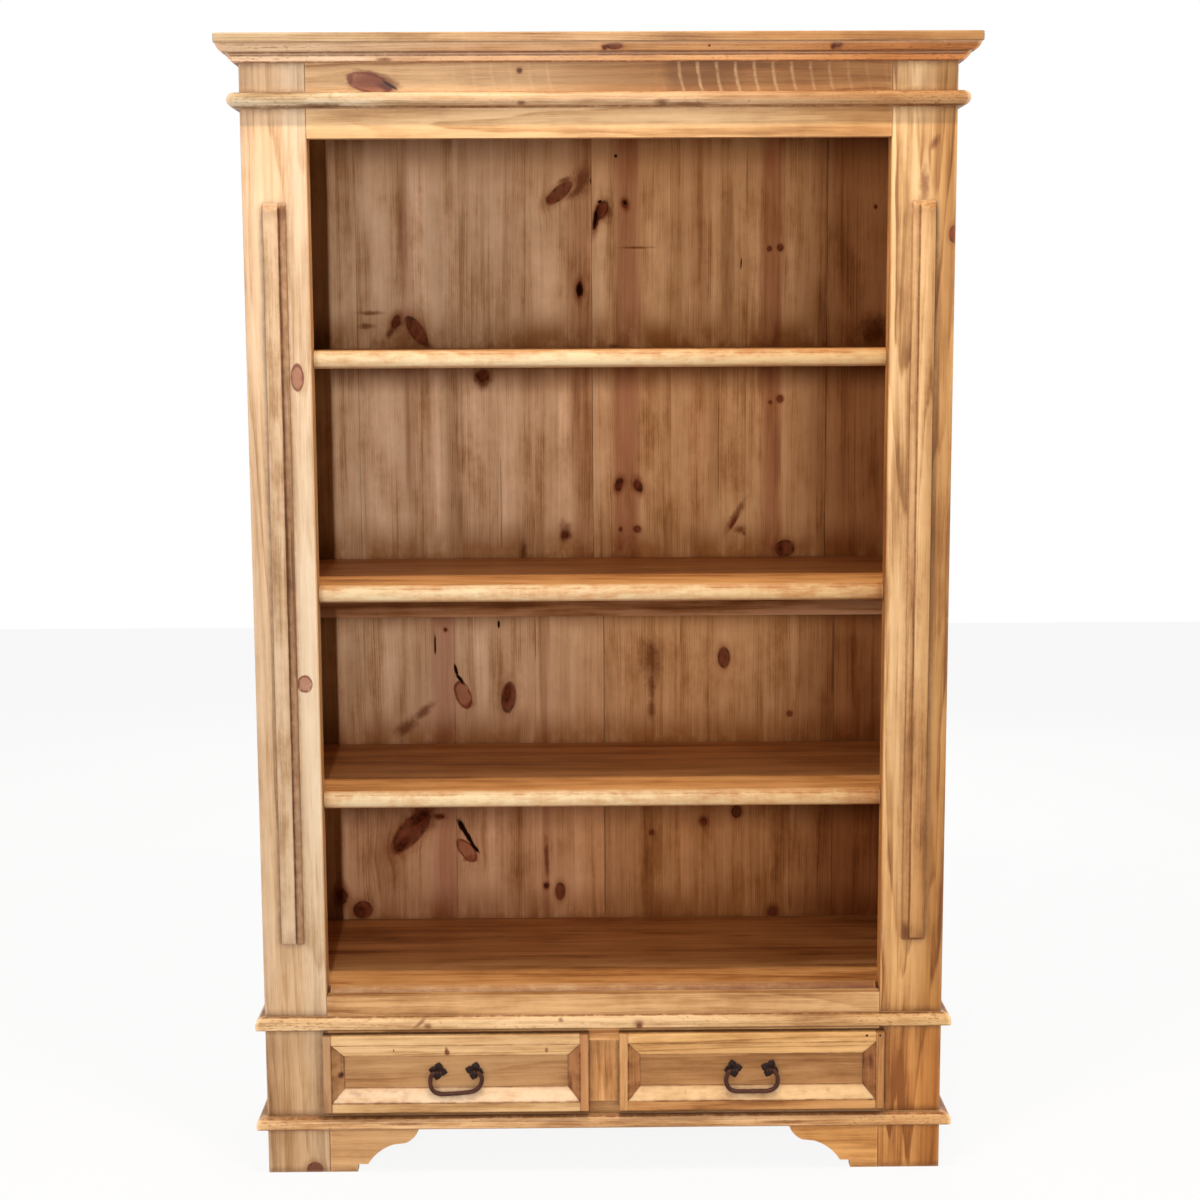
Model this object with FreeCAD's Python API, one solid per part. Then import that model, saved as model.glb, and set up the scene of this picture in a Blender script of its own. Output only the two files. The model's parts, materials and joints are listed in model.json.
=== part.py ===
import FreeCAD, Part
import math
import os

V = FreeCAD.Vector

# A tall open bookcase in waxed rustic pine, with two lipped drawers in its base.
# Millimetres, +Z up, the front faces -Y, and the origin is on the floor under the middle.

# Whole case, with the depth measured from the post faces to the back
total_height = 1830.0
case_width = 1110.0
case_depth = 418.0
top_thickness = 15.0
top_overhang = 33.0
top_corner_radius = 3.0
top_edge_radius = 2.5

# Heights of the base, from the floor upwards
foot_height = 77.5
lower_rail_height = 41.5
drawer_opening_height = 104.0
waist_rail_height = 77.6
top_rail_height = 140.0

# Posts, rails and the stile between the drawers
post_width = 102.0
post_thickness = 32.0
rail_thickness = 19.0
centre_stile_width = 64.0
arris_radius = 1.5
tenon_length = 20.0
tenon_thickness = 9.0
tenon_shoulder = 9.0
joint_clearance = 0.2

# Sides and back
side_thickness = 25.0
back_thickness = 13.0
back_rabbet_depth = 13.0
back_lap_width = 8.0
back_board_gap = 0.8
back_edge_gap = 0.3
upper_joint_shares = (-0.018, 0.7297)
lower_joint_shares = (0.0144, 0.764)
back_rail_height = 41.5
middle_rail_height = 75.0
back_rail_thickness = 20.0
housing_depth = 8.0

# Shelves: the clear heights of the bays share the opening, from the bottom bay upwards
shelf_thickness = 28.0
shelf_setback = 19.0
shelf_nose_radius = 12.5
shelf_end_gap = 0.5
bottom_shelf_rise = 9.4
bottom_shelf_end_gap = 4.0
bay_shares = (299, 310, 346, 326)
shelf_tongue_drop = 4.0
shelf_names = ("bottom_shelf", "lower_shelf", "middle_shelf", "top_shelf")

# Feet: the stepped outline that the front brackets and the side panels share
bracket_toe_reach = 45.0
toe_height = 13.0
ledge_length = 17.0
scoop_length = 43.0
scoop_rise = 33.5
scoop_bulge = 5.0
ogee_flat_length = 19.0
ogee_flat_rise = 2.0
ogee_length = 24.0
ogee_bulge = 5.0
side_toe_share = 0.1914
side_crown_share = 0.2016

# Cornice moulding under the top board: outward reach and height of each step
cornice_height = 26.0
cornice_reach = 30.0
cornice_ovolo_height = 12.5
cornice_ovolo_foot_reach = 22.0
cornice_ovolo_bulge = 1.6
cornice_groove_height = 3.5
cornice_groove_reach = 17.0
cornice_band_reach = 14.5
cornice_band_foot_reach = 8.0
cornice_band_height = 7.0

# Half-round bead on the frieze
bead_height = 24.0
bead_reach = 17.0
bead_rise = 45.0

# Waist and base mouldings
waist_moulding_height = 21.5
waist_moulding_reach = 14.0
waist_moulding_rise = 23.5
waist_top_radius = 11.0
waist_foot_radius = 4.0
base_moulding_height = 20.0
base_moulding_reach = 16.0
base_top_radius = 10.0
base_foot_radius = 4.0

# Raised strips on the posts
strip_width = 36.0
strip_core_width = 15.0
strip_thickness = 11.0
strip_shoulder_thickness = 7.5
strip_quirk_width = 1.8
strip_quirk_depth = 2.0
strip_offset = 1.5
strip_bottom_rise = 89.4
strip_top_gap = 142.5
strip_top_chamfer = 7.0
strip_bottom_radius = 4.0
strip_core_radius = 3.0
strip_shoulder_radius = 2.0

# Runners, guides and the kicker that carry the drawers
runner_thickness = 19.0
runner_ledge = 18.0
guide_height = 30.0
kicker_thickness = 19.0

# Drawers
drawer_side_play = 1.5
drawer_floor_gap = 0.3
drawer_face_gap = 0.3
drawer_top_gap = 6.7
drawer_rear_gap = 29.3
drawer_side_thickness = 12.0
drawer_back_thickness = 12.0
drawer_bottom_thickness = 6.0
drawer_bottom_rise = 8.0
drawer_groove_depth = 6.0
drawer_back_inset = 10.0
front_core_thickness = 13.0
front_rabbet_depth = 7.0
front_core_play = 1.0
lip_thickness = 6.7
lip_side = 7.0
lip_top = 16.5
lip_bottom = 10.5

# Mitred frame on each drawer front
frame_side_width = 34.5
frame_rail_width = 39.0
frame_thickness = 13.0
frame_step = 1.2
frame_foot_thickness = 1.0
frame_edge_radius = 2.0
frame_flat_share = 0.42

# Wrought iron pulls
pull_rise = 1.0
pull_spacing = 60.0
petal_reach = 16.5
petal_width = 13.0
plate_centre_radius = 8.0
plate_thickness = 2.5
stud_radius = 4.6
stud_reach = 9.4
eye_clearance = 0.1
bolt_radius = 2.5
bolt_tail = 7.0
bolt_clearance = 0.15
nut_radius = 4.8
nut_thickness = 4.0
bail_width = 92.0
bail_bar_radius = 3.5
bail_pin_radius = 2.3
bail_pin_inner_reach = 1.5
bail_shoulder_gap = 0.5
bail_bar_drop = 8.0
bail_corner_radius = 19.0

# Nails that hold the back boards
nail_length = 30.0
nail_radius = 1.1
nail_head_radius = 2.6
nail_head_thickness = 1.2
nail_clearance = 0.05
nail_edge_distance = 28.0
nail_counts = (4, 4, 2)

# Cutters run this far past what they cut
overrun = 2.0

# Places worked out from the sizes
half_width = case_width / 2
y_front = -(case_depth + top_overhang) / 2
y_face = y_front + top_overhang
y_back = y_face + case_depth
y_back_boards = y_back - back_thickness
y_rail_rear = y_face + rail_thickness
y_post_rear = y_face + post_thickness
y_back_rail = y_back_boards - back_rail_thickness
x_post_inner = half_width - post_width
x_side_inner = half_width - side_thickness
z_drawer_floor = foot_height + lower_rail_height
z_drawer_top = z_drawer_floor + drawer_opening_height
z_waist_top = z_drawer_top + waist_rail_height
z_top_under = total_height - top_thickness
z_opening_top = z_top_under - top_rail_height
z_bottom_shelf = z_waist_top + bottom_shelf_rise
SIDES = (("left", -1), ("right", 1))


def corner(before, point, after, radius):
    """Tangent points and middle point of the arc that rounds one corner of an outline."""
    to_before = V(before[0] - point[0], before[1] - point[1], 0).normalize()
    to_after = V(after[0] - point[0], after[1] - point[1], 0).normalize()
    half_angle = to_before.getAngle(to_after) / 2
    setback = radius / math.tan(half_angle)
    here = V(point[0], point[1], 0)
    bisector = (to_before + to_after).normalize()
    middle = here + bisector * (radius / math.sin(half_angle) - radius)
    return here + to_before * setback, middle, here + to_after * setback


def place(point, plane):
    """A point of a flat outline, set up in its plane: xy, xz or yz."""
    if plane == "xy":
        return V(point.x, point.y, 0)
    if plane == "xz":
        return V(point.x, 0, point.y)
    return V(0, point.x, point.y)


def outline_face(points, plane):
    """Face of an outline whose points are (u, v), (u, v, radius) or (u, v, "arc", mid_u, mid_v)."""
    count = len(points)
    starts = []
    ends = []
    edges = []
    for index, point in enumerate(points):
        here = V(point[0], point[1], 0)
        if len(point) == 3:
            before = points[index - 1]
            after = points[(index + 1) % count]
            first, middle, last = corner(before, point, after, point[2])
            starts.append(first)
            ends.append(last)
            arc = Part.Arc(place(first, plane), place(middle, plane), place(last, plane))
            edges.append((index, arc.toShape()))
        else:
            starts.append(here)
            ends.append(here)
    ordered = []
    for index, point in enumerate(points):
        ordered.extend(edge for number, edge in edges if number == index)
        following = (index + 1) % count
        a = place(ends[index], plane)
        b = place(starts[following], plane)
        if len(point) == 5:
            middle = place(V(point[3], point[4], 0), plane)
            ordered.append(Part.Arc(a, middle, b).toShape())
        elif a.distanceToPoint(b) > 1e-6:
            ordered.append(Part.LineSegment(a, b).toShape())
    return Part.Face(Part.Wire(ordered))


def prism(points, plane, low, high):
    """Outline drawn in a plane and pulled from low to high along the plane's normal."""
    normal = {"xy": V(0, 0, 1), "xz": V(0, 1, 0), "yz": V(1, 0, 0)}[plane]
    face = outline_face(points, plane)
    face.translate(normal * low)
    return face.extrude(normal * (high - low))


def block(x0, x1, y0, y1, z0, z1):
    """Rectangular block between two corners, whichever way round each pair is given."""
    low = V(min(x0, x1), min(y0, y1), min(z0, z1))
    return Part.makeBox(abs(x1 - x0), abs(y1 - y0), abs(z1 - z0), low)


def rod(radius, start, end):
    """Round bar between two points."""
    return Part.makeCylinder(radius, (end - start).Length, start, end - start)


def bulged(start, end, bulge):
    """Middle point of an arc from start to end that bows by bulge to the left of its way."""
    along_u = end[0] - start[0]
    along_v = end[1] - start[1]
    length = math.hypot(along_u, along_v)
    middle_u = (start[0] + end[0]) / 2 - along_v / length * bulge
    middle_v = (start[1] + end[1]) / 2 + along_u / length * bulge
    return middle_u, middle_v


# Joinery

def rail_tenons(x_inner, z0, z1, grown):
    """The two tenons at the ends of a rail, or their mortises when grown by the clearance."""
    y_middle = y_face + rail_thickness / 2
    half = tenon_thickness / 2 + grown
    pieces = []
    for _, side in SIDES:
        inner = side * (x_inner - joint_clearance)
        outer = side * (x_inner + tenon_length + grown)
        low = z0 + tenon_shoulder - grown
        high = z1 - tenon_shoulder + grown
        pieces.append(block(inner, outer, y_middle - half, y_middle + half, low, high))
    return pieces


def stile_tenons(grown):
    """The tenons at the foot and head of the centre stile, or their mortises when grown."""
    y_middle = y_face + rail_thickness / 2
    half = tenon_thickness / 2 + grown
    half_tenon = centre_stile_width / 2 - tenon_shoulder + grown
    low = z_drawer_floor - tenon_length - grown
    high = z_drawer_top + tenon_length + grown
    foot = block(-half_tenon, half_tenon, y_middle - half, y_middle + half, low, z_drawer_floor)
    head = block(-half_tenon, half_tenon, y_middle - half, y_middle + half, z_drawer_top, high)
    return [foot, head]


RAILS = {
    "top_rail": (z_opening_top, z_top_under),
    "waist_rail": (z_drawer_top, z_waist_top),
    "lower_rail": (foot_height, z_drawer_floor),
}


def make_rails():
    """The three rails of the front, tenoned into the posts, and the stile between the drawers."""
    parts = {}
    for name, (z0, z1) in RAILS.items():
        reach = x_post_inner - joint_clearance
        rail = block(-reach, reach, y_face, y_rail_rear, z0, z1)
        rail = rail.fuse(rail_tenons(x_post_inner, z0, z1, 0)).removeSplitter()
        if name != "top_rail":
            rail = rail.cut(stile_tenons(joint_clearance))
        parts[name] = rail
    half_stile = centre_stile_width / 2
    stile = block(-half_stile, half_stile, y_face, y_rail_rear, z_drawer_floor, z_drawer_top)
    parts["centre_stile"] = stile.fuse(stile_tenons(0)).removeSplitter()
    return parts


def make_posts():
    """Front posts from the floor to the top board, mortised for the rails."""
    parts = {}
    mortises = []
    for z0, z1 in RAILS.values():
        mortises.extend(rail_tenons(x_post_inner, z0, z1, joint_clearance))
    for name, side in SIDES:
        outline = (
            (side * half_width, y_face, arris_radius),
            (side * half_width, y_post_rear),
            (side * x_post_inner, y_post_rear),
            (side * x_post_inner, y_face, arris_radius),
        )
        parts[name + "_post"] = prism(outline, "xy", 0, z_top_under).cut(mortises)
    return parts


def make_strips():
    """Raised strip on each post: a round core, a quirk and a lower shoulder on each side."""
    parts = {}
    half = strip_width / 2
    half_core = strip_core_width / 2
    half_quirk = half_core + strip_quirk_width
    y_core = y_face - strip_thickness
    y_shoulder = y_face - strip_shoulder_thickness
    y_quirk = y_shoulder + strip_quirk_depth
    z_strip_bottom = z_waist_top + strip_bottom_rise
    z_strip_top = z_opening_top + bead_rise - strip_top_gap
    for name, side in SIDES:
        x_middle = side * (half_width - post_width / 2 + strip_offset)
        section = (
            (x_middle - half, y_face),
            (x_middle - half, y_shoulder, strip_shoulder_radius),
            (x_middle - half_quirk, y_shoulder),
            (x_middle - half_quirk, y_quirk),
            (x_middle - half_core, y_quirk),
            (x_middle - half_core, y_core, strip_core_radius),
            (x_middle + half_core, y_core, strip_core_radius),
            (x_middle + half_core, y_quirk),
            (x_middle + half_quirk, y_quirk),
            (x_middle + half_quirk, y_shoulder),
            (x_middle + half, y_shoulder, strip_shoulder_radius),
            (x_middle + half, y_face),
        )
        side_view = (
            (y_face, z_strip_bottom),
            (y_core, z_strip_bottom, strip_bottom_radius),
            (y_core, z_strip_top - strip_top_chamfer),
            (y_core + strip_top_chamfer, z_strip_top),
            (y_face, z_strip_top),
        )
        strip = prism(section, "xy", z_strip_bottom, z_strip_top)
        envelope = prism(side_view, "yz", x_middle - half - overrun, x_middle + half + overrun)
        parts[name + "_post_strip"] = strip.common(envelope)
    return parts


def foot_outline(toe, way, stretch):
    """The shaped edge of a foot, from the floor at its toe up to the case, going along way."""
    ledge_end = toe + way * stretch * ledge_length
    scoop_end = ledge_end + way * stretch * scoop_length
    scoop_height = toe_height + scoop_rise
    flat_reach = scoop_end + way * stretch * ogee_flat_length
    scoop_start = (ledge_end, toe_height)
    scoop_top = (scoop_end, scoop_height)
    flat_end = (flat_reach, scoop_height + ogee_flat_rise)
    tip = (flat_reach + way * stretch * ogee_length, foot_height)
    scoop_middle = bulged(scoop_start, scoop_top, way * scoop_bulge)
    ogee_middle = bulged(flat_end, tip, -way * ogee_bulge)
    return (
        (toe, 0),
        (toe, toe_height),
        scoop_start + ("arc",) + scoop_middle,
        scoop_top,
        flat_end + ("arc",) + ogee_middle,
        tip,
    )


def make_foot_brackets():
    """The shaped bracket beside each front post, under the lower rail."""
    parts = {}
    for name, side in SIDES:
        inner = side * (x_post_inner - joint_clearance)
        toe = side * (x_post_inner - bracket_toe_reach)
        shaped = foot_outline(toe, -side, 1)
        outline = ((inner, foot_height), (inner, 0)) + shaped
        parts[name + "_foot_bracket"] = prism(outline, "xz", y_face, y_rail_rear)
    return parts


def shelf_levels():
    """Height of each shelf's top face, from the bottom shelf upwards."""
    upper_shelves = len(shelf_names) - 1
    clear = z_opening_top - z_bottom_shelf - upper_shelves * shelf_thickness
    levels = [z_bottom_shelf]
    for share in bay_shares[:upper_shelves]:
        levels.append(levels[-1] + clear * share / sum(bay_shares) + shelf_thickness)
    return levels


def make_side_panels():
    """Plank sides behind the posts, housed for the shelves and rebated for the back boards."""
    parts = {}
    toe_reach = case_depth * side_toe_share
    half_arch = case_depth / 2 - toe_reach
    shaped_length = ledge_length + scoop_length + ogee_flat_length + ogee_length
    stretch = half_arch * (1 - side_crown_share) / shaped_length
    front = foot_outline(y_face + toe_reach, 1, stretch)
    rear = foot_outline(y_back - toe_reach, -1, stretch)
    front_edge = ((y_post_rear, z_top_under), (y_post_rear, 0))
    rear_edge = ((y_back, 0), (y_back, z_top_under))
    outline = front_edge + front + mirrored_run(rear) + rear_edge
    for name, side in SIDES:
        inner = side * x_side_inner
        outer = side * half_width
        panel = prism(outline, "yz", min(inner, outer), max(inner, outer))
        cutters = []
        for level in shelf_levels():
            low = level - shelf_thickness - joint_clearance
            high = level - shelf_tongue_drop + joint_clearance
            cutters.append(housing(side, y_post_rear - overrun, y_back_boards, low, high))
        for rail_low, rail_high in BACK_RAILS.values():
            y_start = y_back_rail - joint_clearance
            low = rail_low - joint_clearance
            high = rail_high + joint_clearance
            cutters.append(housing(side, y_start, y_back_boards, low, high))
        rabbet = side * (x_side_inner + back_rabbet_depth)
        start = side * (x_side_inner - overrun)
        z_end = z_top_under + overrun
        cutters.append(block(start, rabbet, y_back_boards, y_back + overrun, foot_height, z_end))
        parts[name + "_side_panel"] = panel.cut(cutters)
    return parts


def mirrored_run(points):
    """The same outline walked from its last point back to its first, arcs included."""
    turned = []
    for index in range(len(points) - 1, -1, -1):
        here = points[index][:2]
        arc_before = points[index - 1] if index and len(points[index - 1]) == 5 else None
        turned.append(here + arc_before[2:] if arc_before else here)
    return tuple(turned)


def housing(side, y0, y1, z0, z1):
    """Cutter for a groove in the inner face of a side panel."""
    start = side * (x_side_inner - overrun)
    floor = side * (x_side_inner + housing_depth + joint_clearance)
    return block(start, floor, y0, y1, z0, z1)


def make_shelves():
    """Four shelves, round-nosed between the posts, with a tongue at each end for the sides."""
    parts = {}
    y_nose = y_face + shelf_setback
    reach = x_side_inner + housing_depth
    for name, level in zip(shelf_names, shelf_levels()):
        outline = (
            (y_nose, level - shelf_thickness, shelf_nose_radius),
            (y_back_boards, level - shelf_thickness),
            (y_back_boards, level),
            (y_nose, level, shelf_nose_radius),
        )
        shelf = prism(outline, "yz", -reach, reach)
        end_gap = bottom_shelf_end_gap if name == "bottom_shelf" else shelf_end_gap
        low = level - shelf_thickness - overrun
        high = level + overrun
        for _, side in SIDES:
            start = side * (x_post_inner - end_gap)
            end = side * (reach + overrun)
            notch = block(start, end, y_nose - overrun, y_post_rear + joint_clearance, low, high)
            shoulder = side * (x_side_inner - joint_clearance)
            z_tongue = level - shelf_tongue_drop
            step = block(shoulder, end, y_nose - overrun, y_back_boards + overrun, z_tongue, high)
            shelf = shelf.cut([notch, step])
        parts[name] = shelf.cut(nail_holes())
    return parts


# Back boards in an upper and a lower set, their rails and their nails

z_middle_rail_top = shelf_levels()[shelf_names.index("middle_shelf")] - shelf_thickness
z_back_seam = z_middle_rail_top - middle_rail_height / 2
BACK_RAILS = {
    "back_bottom_rail": (foot_height, foot_height + back_rail_height),
    "middle_back_rail": (z_middle_rail_top - middle_rail_height, z_middle_rail_top),
    "back_top_rail": (z_top_under - back_rail_height, z_top_under),
}
BACK_SETS = {
    "back_lower_board": (lower_joint_shares, foot_height, z_back_seam - back_board_gap / 2),
    "back_upper_board": (upper_joint_shares, z_back_seam + back_board_gap / 2, z_top_under),
}


def back_edges(joint_shares):
    """Left and right ends of each back board of one set, without the gaps."""
    reach = x_side_inner + back_rabbet_depth - back_edge_gap
    joints = tuple(half_width * share for share in joint_shares)
    edges = (-reach,) + joints + (reach,)
    return list(zip(edges[:-1], edges[1:]))


def nail_heights(low, high):
    """Heights of the shelves and rails that one set of back boards is nailed to."""
    heights = [level - shelf_thickness / 2 for level in shelf_levels()]
    heights.extend((rail_low + rail_high) / 2 for rail_low, rail_high in BACK_RAILS.values())
    heights.remove(z_back_seam)
    if high < z_middle_rail_top:
        heights.append(z_back_seam - middle_rail_height / 4)
    return [z for z in heights if low < z < high]


def nail_places():
    """Where the back nails go: a row across each board at every shelf and rail."""
    places = []
    for joint_shares, low, high in BACK_SETS.values():
        for (left, right), count in zip(back_edges(joint_shares), nail_counts):
            step = (right - left - 2 * nail_edge_distance) / (count - 1)
            for number in range(count):
                x = left + nail_edge_distance + number * step
                places.extend((x, z) for z in nail_heights(low, high))
    return places


def nail(x, z, grown):
    """One nail driven in from the back with its head flush, or its hole when grown."""
    y_head = y_back - nail_head_thickness
    shank = rod(nail_radius + grown, V(x, y_head, z), V(x, y_back - nail_length, z))
    y_end = y_back + (overrun if grown else 0)
    head = rod(nail_head_radius + grown, V(x, y_head, z), V(x, y_end, z))
    return shank.fuse(head)


def nail_holes():
    """All the nail holes as one cutter."""
    return Part.makeCompound([nail(x, z, nail_clearance) for x, z in nail_places()])


def make_boards(name, joint_shares, low, high, holes):
    """One set of vertical back boards with lapped edges, seen from above as a Z at each joint."""
    parts = {}
    edges = back_edges(joint_shares)
    y_lap = y_back_boards + back_thickness / 2
    half_gap = back_board_gap / 2
    for number, (left, right) in enumerate(edges, 1):
        x0 = left + (half_gap if number > 1 else 0)
        x1 = right - (half_gap if number < len(edges) else 0)
        outline = [(x0, y_back_boards)]
        if number > 1:
            x_lap = x0 + back_lap_width
            outline += [(x0, y_lap), (x_lap, y_lap), (x_lap, y_back)]
        else:
            outline += [(x0, y_back)]
        if number < len(edges):
            x_lap = x1 + back_lap_width
            y_under = y_lap + joint_clearance
            outline += [(x_lap, y_back), (x_lap, y_under), (x1, y_under), (x1, y_back_boards)]
        else:
            outline += [(x1, y_back), (x1, y_back_boards)]
        parts["%s_%d" % (name, number)] = prism(tuple(outline), "xy", low, high).cut(holes)
    return parts


def make_back():
    """Vertical back boards above and below a middle rail, the rails and the nails."""
    parts = {}
    holes = nail_holes()
    for name, (joint_shares, low, high) in BACK_SETS.items():
        parts.update(make_boards(name, joint_shares, low, high, holes))
    reach = x_side_inner + housing_depth
    rails = {}
    for name, (low, high) in BACK_RAILS.items():
        rail = block(-reach, reach, y_back_rail, y_back_boards, low, high)
        rails[name] = rail.cut(holes)
    parts["middle_back_rail"] = rails["middle_back_rail"]
    parts["back_end_rails"] = Part.makeCompound([rails["back_bottom_rail"], rails["back_top_rail"]])
    parts["back_nails"] = Part.makeCompound([nail(x, z, 0) for x, z in nail_places()])
    return parts


# Top board and the mouldings that go round the front and sides

def make_top():
    """Top board, flush at the back and overhanging the front and sides, with eased edges."""
    reach = half_width + top_overhang
    outline = (
        (-reach, y_back),
        (-reach, y_front, top_corner_radius),
        (reach, y_front, top_corner_radius),
        (reach, y_back),
    )
    board = prism(outline, "xy", z_top_under, total_height)
    eased = []
    for edge in board.Edges:
        box = edge.BoundBox
        flat = box.ZMax - box.ZMin < top_thickness / 2
        if flat and box.YMin < y_back - overrun:
            eased.append(edge)
    return {"top_board": board.makeFillet(top_edge_radius, eased)}


def moulding(name, section, z0, reach):
    """Front length and two side returns of one moulding, mitred at the front corners.

    The section's points are (reach from the face, height above z0), with an arc where given.
    """
    def turned(section_points, origin, way):
        points = []
        for point in section_points:
            flat = (origin + way * point[0], z0 + point[1])
            if len(point) == 3:
                flat += (point[2],)
            if len(point) == 5:
                flat += ("arc", origin + way * point[3], z0 + point[4])
            points.append(flat)
        return tuple(points)

    height = max(point[1] for point in section)
    low = z0 - overrun
    high = z0 + height + overrun
    far = reach + overrun
    x_end = half_width + far
    y_end = y_face - far
    front_plan = ((-half_width, y_face), (half_width, y_face), (x_end, y_end), (-x_end, y_end))
    front = prism(turned(section, y_face, -1), "yz", -x_end, x_end)
    parts = {name + "_front": front.common(prism(front_plan, "xy", low, high))}
    for side_name, side in SIDES:
        face = side * half_width
        length = prism(turned(section, face, side), "xz", y_end, y_back)
        end = side * x_end
        y_past = y_back + overrun
        side_plan = ((face, y_face), (end, y_end), (end, y_past), (face, y_past))
        parts[name + "_" + side_name] = length.common(prism(side_plan, "xy", low, high))
    return parts


def make_mouldings():
    """Cornice, frieze bead, waist moulding and base moulding."""
    z_band = cornice_band_height
    z_groove = cornice_height - cornice_ovolo_height - cornice_groove_height
    z_ovolo = cornice_height - cornice_ovolo_height
    ovolo_top = (cornice_reach, cornice_height)
    ovolo_foot = (cornice_ovolo_foot_reach, z_ovolo)
    cornice = (
        (0, 0),
        (cornice_band_foot_reach, 0),
        (cornice_band_reach, z_band),
        (cornice_band_reach, z_groove),
        (cornice_groove_reach, z_groove),
        (cornice_groove_reach, z_ovolo),
        ovolo_foot + ("arc",) + bulged(ovolo_foot, ovolo_top, -cornice_ovolo_bulge),
        ovolo_top,
        (0, cornice_height),
    )
    bead_straight = bead_reach - bead_height / 2
    bead = (
        (0, 0),
        (bead_straight, 0, "arc", bead_reach, bead_height / 2),
        (bead_straight, bead_height),
        (0, bead_height),
    )
    waist = (
        (0, 0),
        (waist_moulding_reach, 0, waist_foot_radius),
        (waist_moulding_reach, waist_moulding_height, waist_top_radius),
        (0, waist_moulding_height),
    )
    base = (
        (0, 0),
        (base_moulding_reach, 0, base_foot_radius),
        (base_moulding_reach, base_moulding_height, base_top_radius),
        (0, base_moulding_height),
    )
    z_cornice = z_top_under - cornice_height
    parts = moulding("cornice", cornice, z_cornice, cornice_reach)
    parts.update(moulding("frieze_bead", bead, z_opening_top + bead_rise, bead_reach))
    z_waist = z_drawer_top + waist_moulding_rise
    parts.update(moulding("waist_moulding", waist, z_waist, waist_moulding_reach))
    parts.update(moulding("base_moulding", base, foot_height, base_moulding_reach))
    return parts


# Runners and kicker

def make_runners():
    """Rabbeted runners that carry and guide the drawers, and the kicker over them."""
    parts = {}
    z_low = z_drawer_floor - runner_thickness
    z_guide = z_drawer_floor + guide_height
    for name, side in SIDES:
        wall = side * x_side_inner
        edge = side * x_post_inner
        notch = side * (x_post_inner - joint_clearance)
        ledge = side * (x_post_inner - runner_ledge)
        y_notch = y_post_rear + joint_clearance
        plan = ((wall, y_notch), (notch, y_notch), (notch, y_rail_rear))
        plan += ((ledge, y_rail_rear), (ledge, y_back_rail), (wall, y_back_rail))
        board = prism(plan, "xy", z_low, z_drawer_floor)
        guide = block(wall, edge, y_notch, y_back_rail, z_drawer_floor, z_guide)
        parts[name + "_runner"] = board.fuse(guide).removeSplitter()
    half_guide = centre_stile_width / 2
    half_board = half_guide + runner_ledge
    board = block(-half_board, half_board, y_rail_rear, y_back_rail, z_low, z_drawer_floor)
    guide = block(-half_guide, half_guide, y_rail_rear, y_back_rail, z_drawer_floor, z_guide)
    parts["centre_runner"] = board.fuse(guide).removeSplitter()
    z_kicker = z_drawer_top + kicker_thickness
    kicker = block(-half_board, half_board, y_rail_rear, y_back_boards, z_drawer_top, z_kicker)
    parts["drawer_kicker"] = kicker
    return parts


# Drawers and their pulls

def bail_path(x_middle, y_axis, z_axis, z_bar):
    """Centre line of a bail, from its left shoulder down, across and up to the right shoulder."""
    half_span = bail_width / 2 - bail_bar_radius
    shoulder = pull_spacing / 2 + stud_radius + bail_shoulder_gap
    bend = half_span - shoulder
    z_corner = z_bar + bail_corner_radius
    diagonal = 1 - math.sqrt(0.5)
    edges = []
    for _, side in SIDES:
        x_leg = x_middle + side * half_span
        start = V(x_middle + side * shoulder, y_axis, z_axis)
        top = V(x_leg, y_axis, z_axis - bend)
        top_middle = V(x_leg - side * bend * diagonal, y_axis, z_axis - bend * diagonal)
        foot = V(x_leg, y_axis, z_corner)
        inner = V(x_leg - side * bail_corner_radius, y_axis, z_bar)
        foot_middle_x = x_leg - side * bail_corner_radius * diagonal
        foot_middle = V(foot_middle_x, y_axis, z_bar + bail_corner_radius * diagonal)
        run = [Part.Arc(start, top_middle, top).toShape(), Part.LineSegment(top, foot).toShape()]
        run.append(Part.Arc(foot, foot_middle, inner).toShape())
        edges.append((run, inner))
    (left, left_inner), (right, right_inner) = edges
    across = Part.LineSegment(left_inner, right_inner).toShape()
    return Part.Wire(Part.__sortEdges__(left + [across] + right)), shoulder


def make_bail(x_middle, y_axis, z_axis, z_bar):
    """Iron bail: a round bar bent to a loop, with a thinner pin at each end for the studs."""
    path, shoulder = bail_path(x_middle, y_axis, z_axis, z_bar)
    start = V(x_middle - shoulder, y_axis, z_axis)
    ring = Part.Wire(Part.makeCircle(bail_bar_radius, start, V(1, 0, 0)))
    bail = path.makePipeShell([ring], True, True)
    inner_end = pull_spacing / 2 - stud_radius - bail_pin_inner_reach
    for _, side in SIDES:
        pin_start = V(x_middle + side * inner_end, y_axis, z_axis)
        pin_end = V(x_middle + side * (shoulder + bail_pin_radius), y_axis, z_axis)
        bail = bail.fuse(rod(bail_pin_radius, pin_start, pin_end))
    return bail.removeSplitter()


def petal_plate(x, y_seat, z):
    """Four pointed petals round a domed middle, drilled for the bolt."""
    half_reach = petal_reach / 2
    half_petal = petal_width / 2
    low = y_seat - plate_thickness
    plate = rod(plate_centre_radius, V(x, y_seat, z), V(x, low, z))
    for turn in range(4):
        petal_outline = (
            (x, z, "arc", x + half_petal, z + half_reach),
            (x, z + petal_reach, "arc", x - half_petal, z + half_reach),
        )
        petal = prism(petal_outline, "xz", low, y_seat)
        petal.rotate(V(x, y_seat, z), V(0, 1, 0), turn * 90)
        plate = plate.fuse(petal)
    return plate.removeSplitter()


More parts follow.
